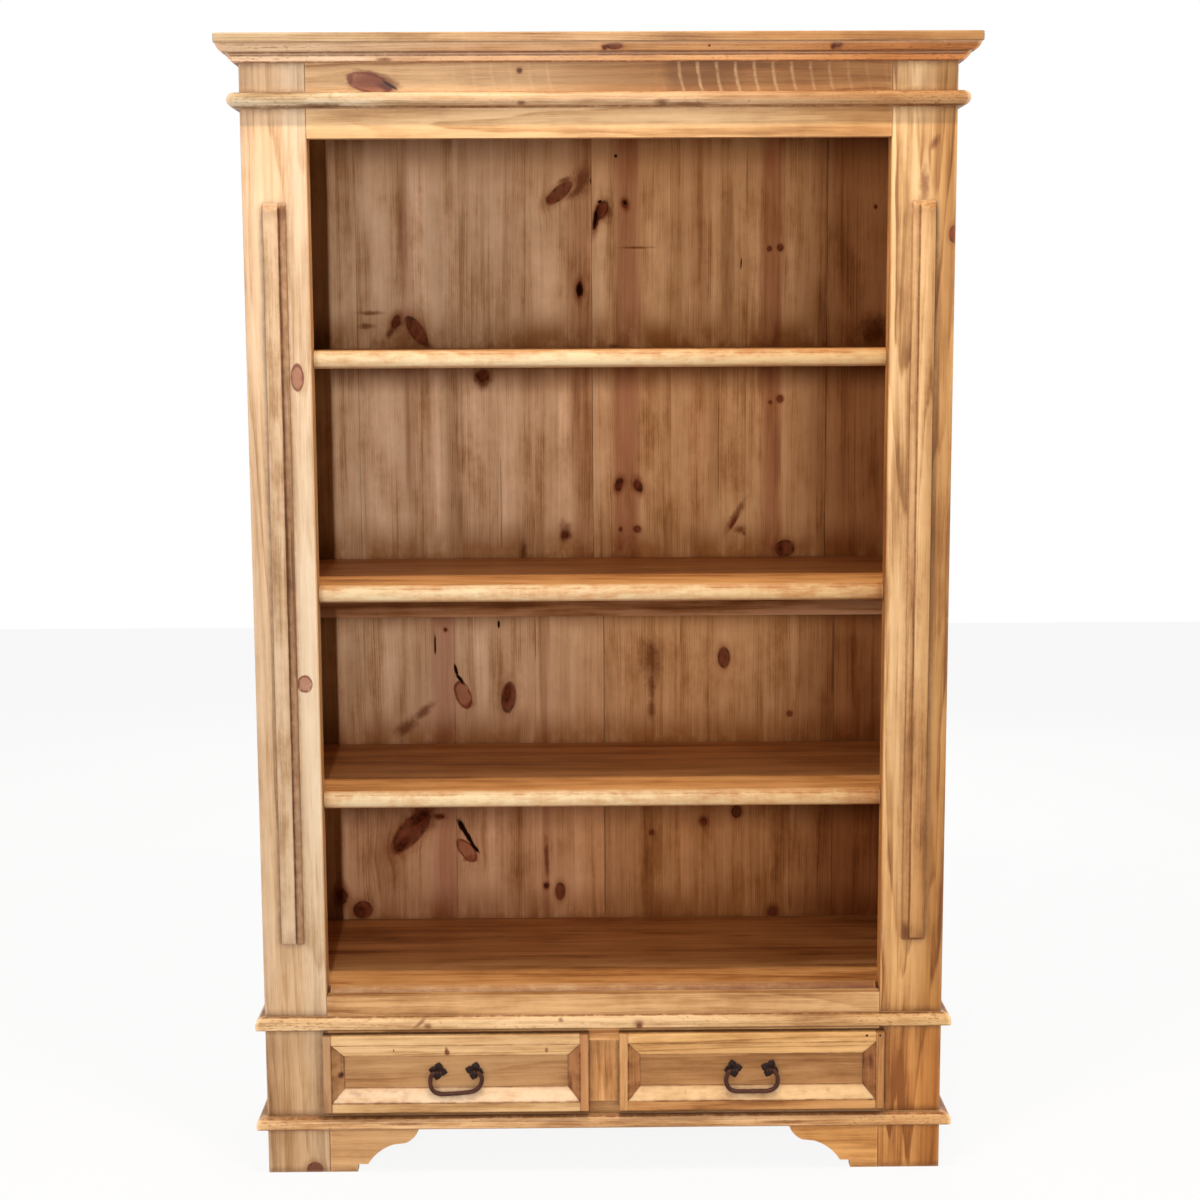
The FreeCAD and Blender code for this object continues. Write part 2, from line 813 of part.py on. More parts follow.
def make_pull(name, x_middle, y_panel, y_core_rear, z_axis, z_bar):
    """Plates, studs with bolts and nuts, and the bail of one pull."""
    plates = []
    bolts = []
    y_axis = y_panel - stud_reach
    for _, side in SIDES:
        x = x_middle + side * pull_spacing / 2
        hole = rod(bolt_radius + bolt_clearance, V(x, y_panel + overrun, z_axis), V(x, y_axis, z_axis))
        plates.append(petal_plate(x, y_panel, z_axis).cut(hole))
        y_plate = y_panel - plate_thickness
        stud = rod(stud_radius, V(x, y_plate, z_axis), V(x, y_axis, z_axis))
        stud = stud.fuse(Part.makeSphere(stud_radius, V(x, y_axis, z_axis)))
        y_tail = y_core_rear + bolt_tail
        stud = stud.fuse(rod(bolt_radius, V(x, y_plate, z_axis), V(x, y_tail, z_axis)))
        reach = stud_radius + overrun
        eye_start = V(x - reach, y_axis, z_axis)
        eye = rod(bail_pin_radius + eye_clearance, eye_start, V(x + reach, y_axis, z_axis))
        bolts.append(stud.removeSplitter().cut(eye))
        corners = [turn * math.pi / 3 for turn in range(6)]
        hexagon = tuple((x + nut_radius * math.cos(a), z_axis + nut_radius * math.sin(a)) for a in corners)
        nut = prism(hexagon, "xz", y_core_rear, y_core_rear + nut_thickness)
        bore = rod(bolt_radius + bolt_clearance, V(x, y_core_rear - overrun, z_axis), V(x, y_tail, z_axis))
        bolts.append(nut.cut(bore))
    return {
        name + "_pull_plates": Part.makeCompound(plates),
        name + "_pull_bolts": Part.makeCompound(bolts),
        name + "_bail": make_bail(x_middle, y_axis, z_axis, z_bar),
    }


def make_frame(x0, x1, z0, z1, y_seat):
    """Four mitred lengths: a flat band, a small step and a bevel down to the panel."""
    y_flat = y_seat - frame_thickness
    y_foot = y_seat - frame_foot_thickness
    inner_x0 = x0 + frame_side_width
    inner_x1 = x1 - frame_side_width
    inner_z0 = z0 + frame_rail_width
    inner_z1 = z1 - frame_rail_width

    def section(edge, way, width):
        flat_end = edge + way * width * frame_flat_share
        return (
            (edge, y_seat),
            (edge, y_flat, frame_edge_radius),
            (flat_end, y_flat),
            (flat_end, y_flat + frame_step),
            (edge + way * width, y_foot),
            (edge + way * width, y_seat),
        )

    def swapped(points):
        return tuple((point[1], point[0]) + point[2:] for point in points)

    y_low = y_flat - overrun
    y_high = y_seat + overrun
    lengths = []
    for edge, inner, way in ((z0, inner_z0, 1), (z1, inner_z1, -1)):
        bar = prism(swapped(section(edge, way, frame_rail_width)), "yz", x0, x1)
        plan = ((x0, edge), (x1, edge), (inner_x1, inner), (inner_x0, inner))
        lengths.append(bar.common(prism(plan, "xz", y_low, y_high)))
    for edge, inner, way in ((x0, inner_x0, 1), (x1, inner_x1, -1)):
        bar = prism(section(edge, way, frame_side_width), "xy", z0, z1)
        plan = ((edge, z0), (edge, z1), (inner, inner_z1), (inner, inner_z0))
        lengths.append(bar.common(prism(plan, "xz", y_low, y_high)))
    return Part.makeCompound(lengths)


def make_drawer(side_name, side):
    """One lipped drawer: front board and frame, two sides, back, bottom and an iron pull."""
    name = side_name + "_drawer"
    edges = sorted((side * centre_stile_width / 2, side * x_post_inner))
    box_x0 = edges[0] + drawer_side_play
    box_x1 = edges[1] - drawer_side_play
    box_z0 = z_drawer_floor + drawer_floor_gap
    box_z1 = z_drawer_top - drawer_top_gap
    y_lip_rear = y_face - drawer_face_gap
    y_panel = y_lip_rear - lip_thickness
    y_core_rear = y_lip_rear + front_core_thickness
    y_side = y_core_rear - front_rabbet_depth
    y_end = y_back_rail - drawer_rear_gap
    lip_x0 = edges[0] - lip_side
    lip_x1 = edges[1] + lip_side
    lip_z0 = z_drawer_floor - lip_bottom
    lip_z1 = z_drawer_top + lip_top
    z_floor = box_z0 + drawer_bottom_rise
    z_floor_top = z_floor + drawer_bottom_thickness
    x_middle = (edges[0] + edges[1]) / 2
    z_panel_low = lip_z0 + frame_rail_width
    z_axis = (z_panel_low + lip_z1 - frame_rail_width) / 2 + pull_rise

    lip = block(lip_x0, lip_x1, y_panel, y_lip_rear, lip_z0, lip_z1)
    core_z1 = z_drawer_top - front_core_play
    core = block(box_x0, box_x1, y_lip_rear, y_core_rear, box_z0, core_z1)
    front = lip.fuse(core).removeSplitter()
    inner_x0 = box_x0 + drawer_side_thickness
    inner_x1 = box_x1 - drawer_side_thickness
    cutters = []
    for start, end in ((box_x0 - overrun, inner_x0), (inner_x1, box_x1 + overrun)):
        low = box_z0 - overrun
        cutters.append(block(start, end, y_side, y_core_rear + overrun, low, core_z1 + overrun))
    groove_x0 = inner_x0 - drawer_groove_depth
    groove_x1 = inner_x1 + drawer_groove_depth
    groove_y0 = y_core_rear - drawer_groove_depth
    groove_z0 = z_floor - joint_clearance
    groove_z1 = z_floor_top + joint_clearance
    groove = block(groove_x0, groove_x1, groove_y0, y_end + overrun, groove_z0, groove_z1)
    cutters.append(groove)
    for _, end in SIDES:
        x = x_middle + end * pull_spacing / 2
        start = V(x, y_panel - overrun, z_axis)
        cutters.append(rod(bolt_radius + bolt_clearance, start, V(x, y_core_rear + overrun, z_axis)))
    parts = {name + "_front": front.cut(cutters)}
    parts[name + "_frame"] = make_frame(lip_x0, lip_x1, lip_z0, lip_z1, y_panel)
    left = block(box_x0, inner_x0, y_side, y_end, box_z0, box_z1)
    right = block(inner_x1, box_x1, y_side, y_end, box_z0, box_z1)
    parts[name + "_left_side"] = left.cut(groove)
    parts[name + "_right_side"] = right.cut(groove)
    y_back_outer = y_end - drawer_back_inset
    y_back_inner = y_back_outer - drawer_back_thickness
    z_back = z_floor_top + joint_clearance
    parts[name + "_back"] = block(inner_x0, inner_x1, y_back_inner, y_back_outer, z_back, box_z1)
    parts[name + "_bottom"] = block(
        groove_x0 + joint_clearance,
        groove_x1 - joint_clearance,
        groove_y0 + joint_clearance,
        y_back_outer,
        z_floor,
        z_floor_top,
    )
    z_bar = z_panel_low - bail_bar_drop
    parts.update(make_pull(side_name, x_middle, y_panel, y_core_rear, z_axis, z_bar))
    return parts


def make_bookcase():
    """All the pieces by name."""
    parts = {}
    groups = (
        make_posts, make_strips, make_foot_brackets, make_rails, make_side_panels,
        make_shelves, make_back, make_top, make_mouldings, make_runners,
    )
    for group in groups:
        parts.update(group())
    for side_name, side in SIDES:
        parts.update(make_drawer(side_name, side))
    return parts


os.makedirs("parts", exist_ok=True)
pieces = make_bookcase()
for piece_name, shape in pieces.items():
    shape.exportStep("parts/" + piece_name + ".step")
print(len(pieces), "pieces")
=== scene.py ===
import json
import math

import bmesh
import bpy
from mathutils import Matrix, Vector


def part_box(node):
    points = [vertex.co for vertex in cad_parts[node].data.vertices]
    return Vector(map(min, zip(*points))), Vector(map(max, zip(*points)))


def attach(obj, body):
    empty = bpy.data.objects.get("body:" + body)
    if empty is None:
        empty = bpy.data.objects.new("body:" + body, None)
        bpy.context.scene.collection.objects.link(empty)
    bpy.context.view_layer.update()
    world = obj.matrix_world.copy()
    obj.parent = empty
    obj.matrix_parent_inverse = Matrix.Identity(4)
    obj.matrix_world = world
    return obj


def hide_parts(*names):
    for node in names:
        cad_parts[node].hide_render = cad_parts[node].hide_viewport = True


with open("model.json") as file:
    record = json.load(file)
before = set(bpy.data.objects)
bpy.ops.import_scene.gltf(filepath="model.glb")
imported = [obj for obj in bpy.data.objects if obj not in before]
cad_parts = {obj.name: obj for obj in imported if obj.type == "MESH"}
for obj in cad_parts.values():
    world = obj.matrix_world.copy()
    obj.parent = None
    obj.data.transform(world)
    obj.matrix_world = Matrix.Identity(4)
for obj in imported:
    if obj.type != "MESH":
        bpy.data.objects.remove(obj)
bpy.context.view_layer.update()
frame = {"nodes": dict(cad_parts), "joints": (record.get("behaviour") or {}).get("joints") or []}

bl_info = {
    "name": "Rustic pine bookcase",
    "version": (1, 0, 0),
    "blender": (4, 5, 0),
    "location": "3D View > Sidebar > Bookcase",
    "description": "Waxed pine bookcase with four shelves and two drawers",
    "category": "Object",
}

NODES = frame["nodes"]


def tint(red, green, blue):
    """A colour from its 0 to 255 values, as light."""
    def light(value):
        value /= 255
        return value / 12.92 if value <= 0.04045 else ((value + 0.055) / 1.055) ** 2.4
    return light(red), light(green), light(blue)


def shade(colour, red, green=None, blue=None):
    """A colour made lighter or darker, channel by channel."""
    factors = (red, red if green is None else green, red if blue is None else blue)
    return tuple(min(1.0, c * f) for c, f in zip(colour, factors))


def opaque(colour):
    """A colour with full alpha."""
    return (*colour[:3], 1.0)


def colour_property(name, description, colour):
    return bpy.props.FloatVectorProperty(
        name=name, description=description, subtype="COLOR", size=3, min=0, max=1, default=colour)


# ---------------------------------------------------------------- settings


class PineSettings(bpy.types.PropertyGroup):
    post: colour_property("Posts", "Waxed pine of the posts", tint(219, 182, 143))
    rail: colour_property("Rails", "Waxed pine of rails and feet", tint(222, 178, 130))
    moulding: colour_property("Mouldings", "Waxed pine of the mouldings", tint(226, 182, 134))
    back: colour_property("Back", "Darker pine of the back boards", tint(199, 161, 126))
    shelf: colour_property("Shelves", "Golden pine of the shelves", tint(208, 150, 92))
    drawer: colour_property("Drawer fronts", "Waxed pine of the drawers", tint(208, 160, 112))
    inside: colour_property("Inside", "Bare pine of hidden parts", tint(222, 190, 148))
    heart: colour_property("Heartwood", "Reddish tint of the heartwood", (0.62, 0.42, 0.40))
    knot: colour_property("Red knots", "Sound knots", tint(118, 54, 34))
    dead_knot: colour_property("Dark knots", "Dead knots and cracks", tint(52, 24, 12))
    glaze: colour_property("Glaze", "Dark wax left in corners", tint(84, 46, 20))
    ring_pitch: bpy.props.FloatProperty(
        name="Ring pitch", description="Distance between growth rings",
        default=0.0042, min=0.001, max=0.02, subtype="DISTANCE")
    wax: bpy.props.FloatProperty(
        name="Roughness", description="Roughness of the wax", default=0.44, min=0.1, max=1)
    dents: bpy.props.FloatProperty(
        name="Relief", description="Height of grain relief", default=0.0006,
        min=0, max=0.003, subtype="DISTANCE")


class IronSettings(bpy.types.PropertyGroup):
    iron: colour_property("Iron", "Dark iron of the pulls", tint(68, 36, 26))
    rust: colour_property("Rust", "Reddish patches on the iron", tint(92, 52, 36))
    nail: colour_property("Nails", "Nail heads", tint(92, 88, 84))
    hammering: bpy.props.FloatProperty(
        name="Hammering", description="Depth of the hammer marks", default=0.0006,
        min=0, max=0.002, subtype="DISTANCE")


class StudioSettings(bpy.types.PropertyGroup):
    floor: colour_property("Floor", "Pale floor", (0.86, 0.86, 0.86))
    key: bpy.props.FloatProperty(
        name="Key", description="Light beside the camera", default=52, min=0, subtype="POWER")
    overhead: bpy.props.FloatProperty(
        name="Overhead", description="Warm light above the front", default=30, min=0,
        subtype="POWER")
    ambient: bpy.props.FloatProperty(
        name="Ambient", description="Level of the even light", default=0.34, min=0, max=1)
    lens: bpy.props.FloatProperty(
        name="Lens", description="Focal length in millimetres on 36", default=60.1, min=20,
        max=200)


# ---------------------------------------------------------------- finishes


class Field:
    """One socket of a finish, so that masks and patterns are written as sums."""

    def __init__(self, finish, socket):
        self.finish = finish
        self.socket = socket

    def maths(self, operation, *others):
        sockets = dict(enumerate((self, *others)))
        return self.finish.add("ShaderNodeMath", {"operation": operation}, sockets)

    def reflected(self, operation, other):
        return self.finish.add("ShaderNodeMath", {"operation": operation}, {0: other, 1: self})

    def __add__(self, other):
        return self.maths("ADD", other)

    __radd__ = __add__

    def __sub__(self, other):
        return self.maths("SUBTRACT", other)

    def __rsub__(self, other):
        return self.reflected("SUBTRACT", other)

    def __mul__(self, other):
        return self.maths("MULTIPLY", other)

    __rmul__ = __mul__

    def __truediv__(self, other):
        return self.maths("DIVIDE", other)

    def __rtruediv__(self, other):
        return self.reflected("DIVIDE", other)

    def __neg__(self):
        return self * -1

    def __abs__(self):
        return self.maths("ABSOLUTE")

    def least(self, other):
        return self.maths("MINIMUM", other)

    def most(self, other):
        return self.maths("MAXIMUM", other)

    def clamped(self, high=1.0):
        return self.most(0.0).least(high)

    def above(self, limit):
        return self.maths("GREATER_THAN", limit)

    def between(self, start, end):
        """0 at start, 1 at end, eased."""
        return self.finish.add(
            "ShaderNodeMapRange", {"interpolation_type": "SMOOTHSTEP", "clamp": True},
            {"Value": self, "From Min": start, "From Max": end})

    def near(self, place, full, none):
        """1 up to full away from a place, fading to 0 at none away from it."""
        return 1 - abs(self - place).between(full, none)

    def within(self, low, high, soft):
        """1 from low to high, fading over a soft length at both ends."""
        return self.between(low, low + soft) * (1 - self.between(high - soft, high))


class Finish:
    """A material or the world being made: every node comes from its add method."""

    def __init__(self, owner):
        self.owner = owner
        owner.use_nodes = True
        self.tree = owner.node_tree
        self.tree.nodes.clear()

    def add(self, kind, settings=None, sockets=None, output=0):
        """A new node with its settings and inputs filled in, as the field that it gives."""
        node = self.tree.nodes.new(kind)
        for key, value in (settings or {}).items():
            if key == "stops":
                ramp = node.color_ramp.elements
                while len(ramp) < len(value):
                    ramp.new(0.5)
                for stop, (position, colour) in zip(ramp, value):
                    stop.position = position
                    stop.color = opaque(colour)
            else:
                setattr(node, key, value)
        for key, value in (sockets or {}).items():
            if isinstance(value, Field):
                self.tree.links.new(value.socket, node.inputs[key])
            else:
                node.inputs[key].default_value = value
        return None if output is None else Field(self, node.outputs[output])

    def place(self):
        return self.add("ShaderNodeTexCoord", output="Object")

    def seen(self):
        """1 where the camera, a gloss or clear glass looks straight at the surface."""
        camera, gloss, glass = (self.add("ShaderNodeLightPath", output=f"Is {kind} Ray")
                                for kind in ("Camera", "Glossy", "Transmission"))
        return camera.most(gloss).most(glass)

    def parts(self, vector):
        first = self.add("ShaderNodeSeparateXYZ", sockets={0: vector})
        return [Field(self, out) for out in first.socket.node.outputs]

    def joined(self, first, second, third):
        return self.add("ShaderNodeCombineXYZ", sockets={0: first, 1: second, 2: third})

    def noise(self, place, stretch=None, shift=(0.0, 0.0, 0.0), scale=1.0, detail=2.0,
              roughness=0.5):
        """Clouds over a place, finer along an axis where its stretch is larger."""
        if stretch is not None:
            place = self.add("ShaderNodeVectorMath", {"operation": "MULTIPLY_ADD"},
                             {0: place, 1: stretch, 2: shift})
        return self.add("ShaderNodeTexNoise", {"noise_dimensions": "3D"},
                        {"Vector": place, "Scale": scale, "Detail": detail,
                         "Roughness": roughness})

    def blend(self, first, second, factor, mode="MIX"):
        """Two colours mixed; the second where the factor is 1."""
        sockets = {0: factor}
        for index, colour in ((6, first), (7, second)):
            sockets[index] = colour if isinstance(colour, Field) else opaque(colour)
        return self.add("ShaderNodeMix", {"data_type": "RGBA", "blend_type": mode},
                        sockets, output=2)

    def stain(self, wood, tone, factor):
        """A colour tinted where the factor is 1, as by a thin glaze."""
        return self.blend(wood, tone, factor, "MULTIPLY")

    def recess(self, distance, inside=False):
        """1 in a tight corner, or on a sharp edge when it looks inside."""
        return 1 - self.add("ShaderNodeAmbientOcclusion", {"samples": 4, "inside": inside},
                            {"Distance": distance}, output="AO")

    def surface(self, colour, roughness, height, relief, **constants):
        """A solid surface with its relief, and any other value that it has all over."""
        bump = self.add("ShaderNodeBump",
                        sockets={"Strength": 1.0, "Distance": relief, "Height": height})
        constants = {key.replace("_", " "): value for key, value in constants.items()}
        return self.ended(self.add("ShaderNodeBsdfPrincipled", sockets={
            "Base Color": colour, "Roughness": roughness, "Normal": bump, **constants}))

    def ended(self, shader):
        """The material or world, with its shader in place."""
        kind = "World" if isinstance(self.owner, bpy.types.World) else "Material"
        self.add(f"ShaderNodeOutput{kind}", sockets={"Surface": shader}, output=None)
        return self.owner


# ---------------------------------------------------------------- pine

# kinds of knot and mark, and those that the grain parts round
RED, PINK, DARK, CRACK, SMEAR = "red", "pink", "dark", "crack", "smear"
PARTS_GRAIN = (RED, PINK, DARK)

# how long the ends of a soft stripe and of a crack fade, and the tints of a stripe
STRIPE_END, CRACK_END = 0.07, 0.025
PALER, BROWNER = (1.32, 1.38, 1.5), (0.6, 0.5, 0.42)


def pine(name, grain, colour, seed, pith=(0.0, 0.06), lean=0.012, strips=(), hearts=(),
         knots=None, lines=(), fades=(), grime=(), streaks=(), rings=0.5, bands=1.0, brush=1.0,
         clouds=1.0, patch=17.0, sway=0.022, wear=0.0, glaze=1.0, gloss=0.25, inner_face=None,
         turned=None, extra=None):
    """Waxed pine with growth rings round a pith that leans through the board.

    grain names the axes along, across and through the board. strips are glue lines across
    it with the change of tone after each; hearts are reddish bands; knots are, for each kind,
    the places of knots or marks across and along the grain, half their sizes and their tilt
    in degrees, anticlockwise from the grain; lines are thin dark cracks; grime is painted shade
    along lines across the grain; streaks are soft stripes along it, paler or, where their
    strength is negative, browner. All of these are in millimetres in the bookcase's own
    frame. fades are an axis, where a tint starts and is full in metres, and the tint.
    inner_face is how deep fades and grime reach in the board. turned gives the part of it
    whose grain runs the other way, and extra the marks that only this piece has.
    """
    settings = bpy.context.scene.bookcase_pine
    finish = Finish(bpy.data.materials.new(name))
    axes = dict(zip("xyz", finish.parts(finish.place())))
    along, across, through = (axes[letter] for letter in grain)
    if turned is not None:
        mask = turned(axes)
        along, across = along * (1 - mask) + across * mask, across * (1 - mask) + along * mask
    start = (seed * 1.37 % 9, seed * 2.11 % 7, seed * 0.73 % 5)

    # each glued strip has its own pith and its own tone
    middle, depth = pith
    tone, count, shift = 0.5, 0.0, 0.0
    for place, change in strips:
        step = across.above(place / 1000)
        tone = step * change + tone
        count = step + count
    if strips:
        pick = finish.add("ShaderNodeTexWhiteNoise", {"noise_dimensions": "1D"},
                          {"W": count * 3.7 + seed}, output="Color")
        red, green, blue = finish.parts(pick)
        middle = (red - 0.5) * 0.5 + middle
        depth = green * 0.09 + depth * 0.6
        shift = blue * 4

    # the grain wanders, and parts round each knot
    flat = finish.joined(across, along, through)
    wander = finish.noise(flat, (5.0, 1.1, 5.0), start, detail=1.0)
    bent = across + (wander - 0.5) * sway
    rough = finish.noise(flat, (95.0, 70.0, 0.0), start, detail=3.0, roughness=0.65)
    nearest = {}
    for kind, marks in (knots or {}).items():
        for place, height, half_across, half_along, *tilt in marks:
            local = finish.add("ShaderNodeMapping", {"vector_type": "TEXTURE"},
                               {"Vector": flat, "Location": (place / 1000, height / 1000, 0.0),
                                "Rotation": (0.0, 0.0, math.radians(*tilt or (0.0,))),
                                "Scale": (half_across / 1000, half_along / 1000, 1000.0)})
            reach = finish.add("ShaderNodeVectorMath", {"operation": "LENGTH"}, {0: local},
                               output="Value")
            nearest[kind] = nearest[kind].least(reach) if kind in nearest else reach
            if kind in PARTS_GRAIN:
                pull = (reach * reach * -0.55).maths("EXPONENT")
                bent = bent - (across - place / 1000) * pull * 0.6
    body = finish.joined(bent, along + shift, through)

    # growth rings, pale early wood that darkens to a thin late line
    leaning = along * lean + (through - depth)
    radius = ((bent - middle) * (bent - middle) + leaning * leaning).maths("SQRT")
    drift = finish.noise(body, (30.0, 2.6, 30.0), start, detail=3.0)
    phase = radius / settings.ring_pitch + drift * 2.4
    ring = phase.maths("FRACT")
    year = finish.add("ShaderNodeTexWhiteNoise", {"noise_dimensions": "1D"},
                      {"W": phase.maths("FLOOR")}, output="Value")
    late = ring * ring * (1 - ring.between(0.86, 1.0)) * (year * 1.1 + 0.15)
    band = finish.noise(finish.joined(radius * 34 + start[0], along * 1.2 + shift, start[1]),
                        detail=3.0, roughness=0.6)
    fibre = finish.noise(body, (620.0, 16.0, 620.0), start, roughness=0.6)
    streak = finish.noise(body, (130.0, 3.6, 130.0), start, detail=3.0, roughness=0.65)
    stroke = finish.noise(body, (30.0, 2.6, 30.0), start[::-1])
    mottle = finish.noise(flat, (patch, 9.0, patch), start, detail=5.0, roughness=0.66)
    level = (tone + (band - 0.5) * (1.1 * bands) - late * (0.62 * rings)
             + (fibre - 0.5) * 0.42 + (streak - 0.5) * (0.75 * brush)
             + (stroke - 0.5) * (1.1 * brush) + (mottle - 0.5) * (0.8 * clouds))
    base = tuple(colour)
    wood = finish.add("ShaderNodeValToRGB", {"stops": (
        (0.0, shade(base, 0.42, 0.31, 0.22)), (0.25, shade(base, 0.72, 0.63, 0.53)),
        (0.5, base), (0.75, shade(base, 1.15, 1.22, 1.32)), (1.0, shade(base, 1.3, 1.42, 1.62)),
    )}, {"Fac": level})

    for place, half, strength in hearts:
        edge = abs(across - place / 1000) + (stroke - 0.5) * 0.03
        inside = (1 - edge.between(half * 0.5 / 1000, half * 1.6 / 1000)) * strength
        wood = finish.stain(wood, settings.heart, (inside * (mottle * 1.6 + 0.1)).least(0.9))
    for place, half, low, high, strength in streaks:
        stripe = (bent + (streak - 0.5) * 0.012).near(
            place / 1000, half * 0.25 / 1000, half * 1.2 / 1000)
        stripe = stripe * along.within(low / 1000, high / 1000, STRIPE_END)
        wood = finish.stain(wood, PALER if strength > 0 else BROWNER,
                            stripe * (mottle * 0.9 + 0.35) * abs(strength))
    face = 1.0 if inner_face is None else 1 - through.above(inner_face)
    for axis, first, last, factors in fades:
        edge = (axes[axis] + (mottle - 0.5) * (0.25 * (last - first))).between(first, last)
        wood = finish.stain(wood, factors, edge * face)
    # painted shade along each line across the grain, in clouds
    for place, half, strength in grime:
        cloud = (stroke * 0.5 + mottle - 0.5).between(0.0, 0.42)
        wood = finish.stain(wood, (0.5, 0.36, 0.24), along.near(
            place / 1000, 0.0, half / 1000) * face * cloud * strength)
    wood = knotted(finish, wood, nearest, rough)
    for place, low, high, strength in lines:
        crack = (across + (drift - 0.5) * 0.0012).near(place / 1000, 0.0003, 0.0016)
        wood = finish.blend(wood, shade(settings.glaze, 0.5), crack * along.within(
            low / 1000, high / 1000, CRACK_END) * strength)
    if extra is not None:
        wood = extra(finish, axes, wood, rough, mottle)

    # dark wax in the corners, pale wood on the rubbed edges
    patchy = (rough * 1.2 + mottle * 1.2 - 0.55).most(0.12)
    corner = (finish.recess(0.013) - 0.09).most(0.0) * (3.0 * glaze)
    wood = finish.blend(wood, settings.glaze, (corner * patchy).least(0.9))
    if wear > 0:
        worn = (finish.recess(0.005, inside=True) - 0.12).most(0.0) * (1.8 * wear)
        wood = finish.blend(wood, shade(base, 1.3, 1.45, 1.7), (worn * patchy).least(0.8))
    sheen = settings.wax + (mottle - 0.5) * 0.3 + late * 0.1
    height = fibre * 0.3 + streak * 0.6 + mottle * 1.8
    return finish.surface(wood, sheen, height, settings.dents, Specular_IOR_Level=gloss)


def knotted(finish, wood, nearest, rough):
    """Draws the knots and marks of each kind, whose reach is 1 at their rim."""
    settings = bpy.context.scene.bookcase_pine
    ragged = (rough - 0.5) * 1.3
    black = shade(settings.dead_knot, 1.25, 1.3, 1.4)
    if SMEAR in nearest:
        mask = 1 - (nearest[SMEAR] + ragged * 0.9).between(0.2, 1.3)
        wood = finish.stain(wood, (0.34, 0.2, 0.14), mask * 0.85)
    if PINK in nearest:
        reach = nearest[PINK] + ragged * 0.35
        rim = reach.between(0.72, 0.95) * (1 - reach.between(1.0, 1.2))
        wood = finish.blend(wood, shade(settings.knot, 1.6, 2.1, 2.5),
                            (1 - reach.between(0.7, 1.14)) * (0.5 + rough * 0.5))
        wood = finish.blend(wood, settings.knot, (rim * (rough * 2.6 - 0.3)).clamped(0.9))
    if RED in nearest:
        reach = nearest[RED] + ragged * 0.45
        wood = finish.stain(wood, (0.62, 0.44, 0.36), (1 - reach.between(0.8, 2.0)) * 0.7)
        rim = reach.between(0.7, 0.95) * (1 - reach.between(1.0, 1.16))
        heart = finish.blend(settings.knot, settings.dead_knot, (rough * 2.4 - 0.9).clamped())
        wood = finish.blend(wood, heart, (1 - reach.between(0.78, 1.14)) * 0.85)
        wood = finish.blend(wood, black, rim * (rough * 3.2 - 1.1).clamped(0.85))
    if DARK in nearest:
        reach = nearest[DARK] + ragged * 0.6
        wood = finish.stain(wood, (0.5, 0.3, 0.22), (1 - reach.between(0.75, 2.1)) * 0.8)
        heart = finish.blend(black, settings.knot, (rough * 2.6 - 0.95).clamped(0.8))
        wood = finish.blend(wood, heart, (1 - reach.between(0.7, 1.1)) * 0.93)
    if CRACK in nearest:
        reach = nearest[CRACK] + ragged * 0.6
        wood = finish.blend(wood, shade(black, 0.3), 1 - reach.between(0.6, 1.15))
    return wood


def dress(material, *names):
    """Gives CAD pieces their finish."""
    for name in names:
        for slot in NODES[name].material_slots:
            slot.material = material


def board(name, grain, colour, seed, **look):
    """Gives one CAD piece a pine of its own."""
    dress(pine(f"pine_{name}", grain, colour, seed, **look), name)


# ---------------------------------------------------------------- operators


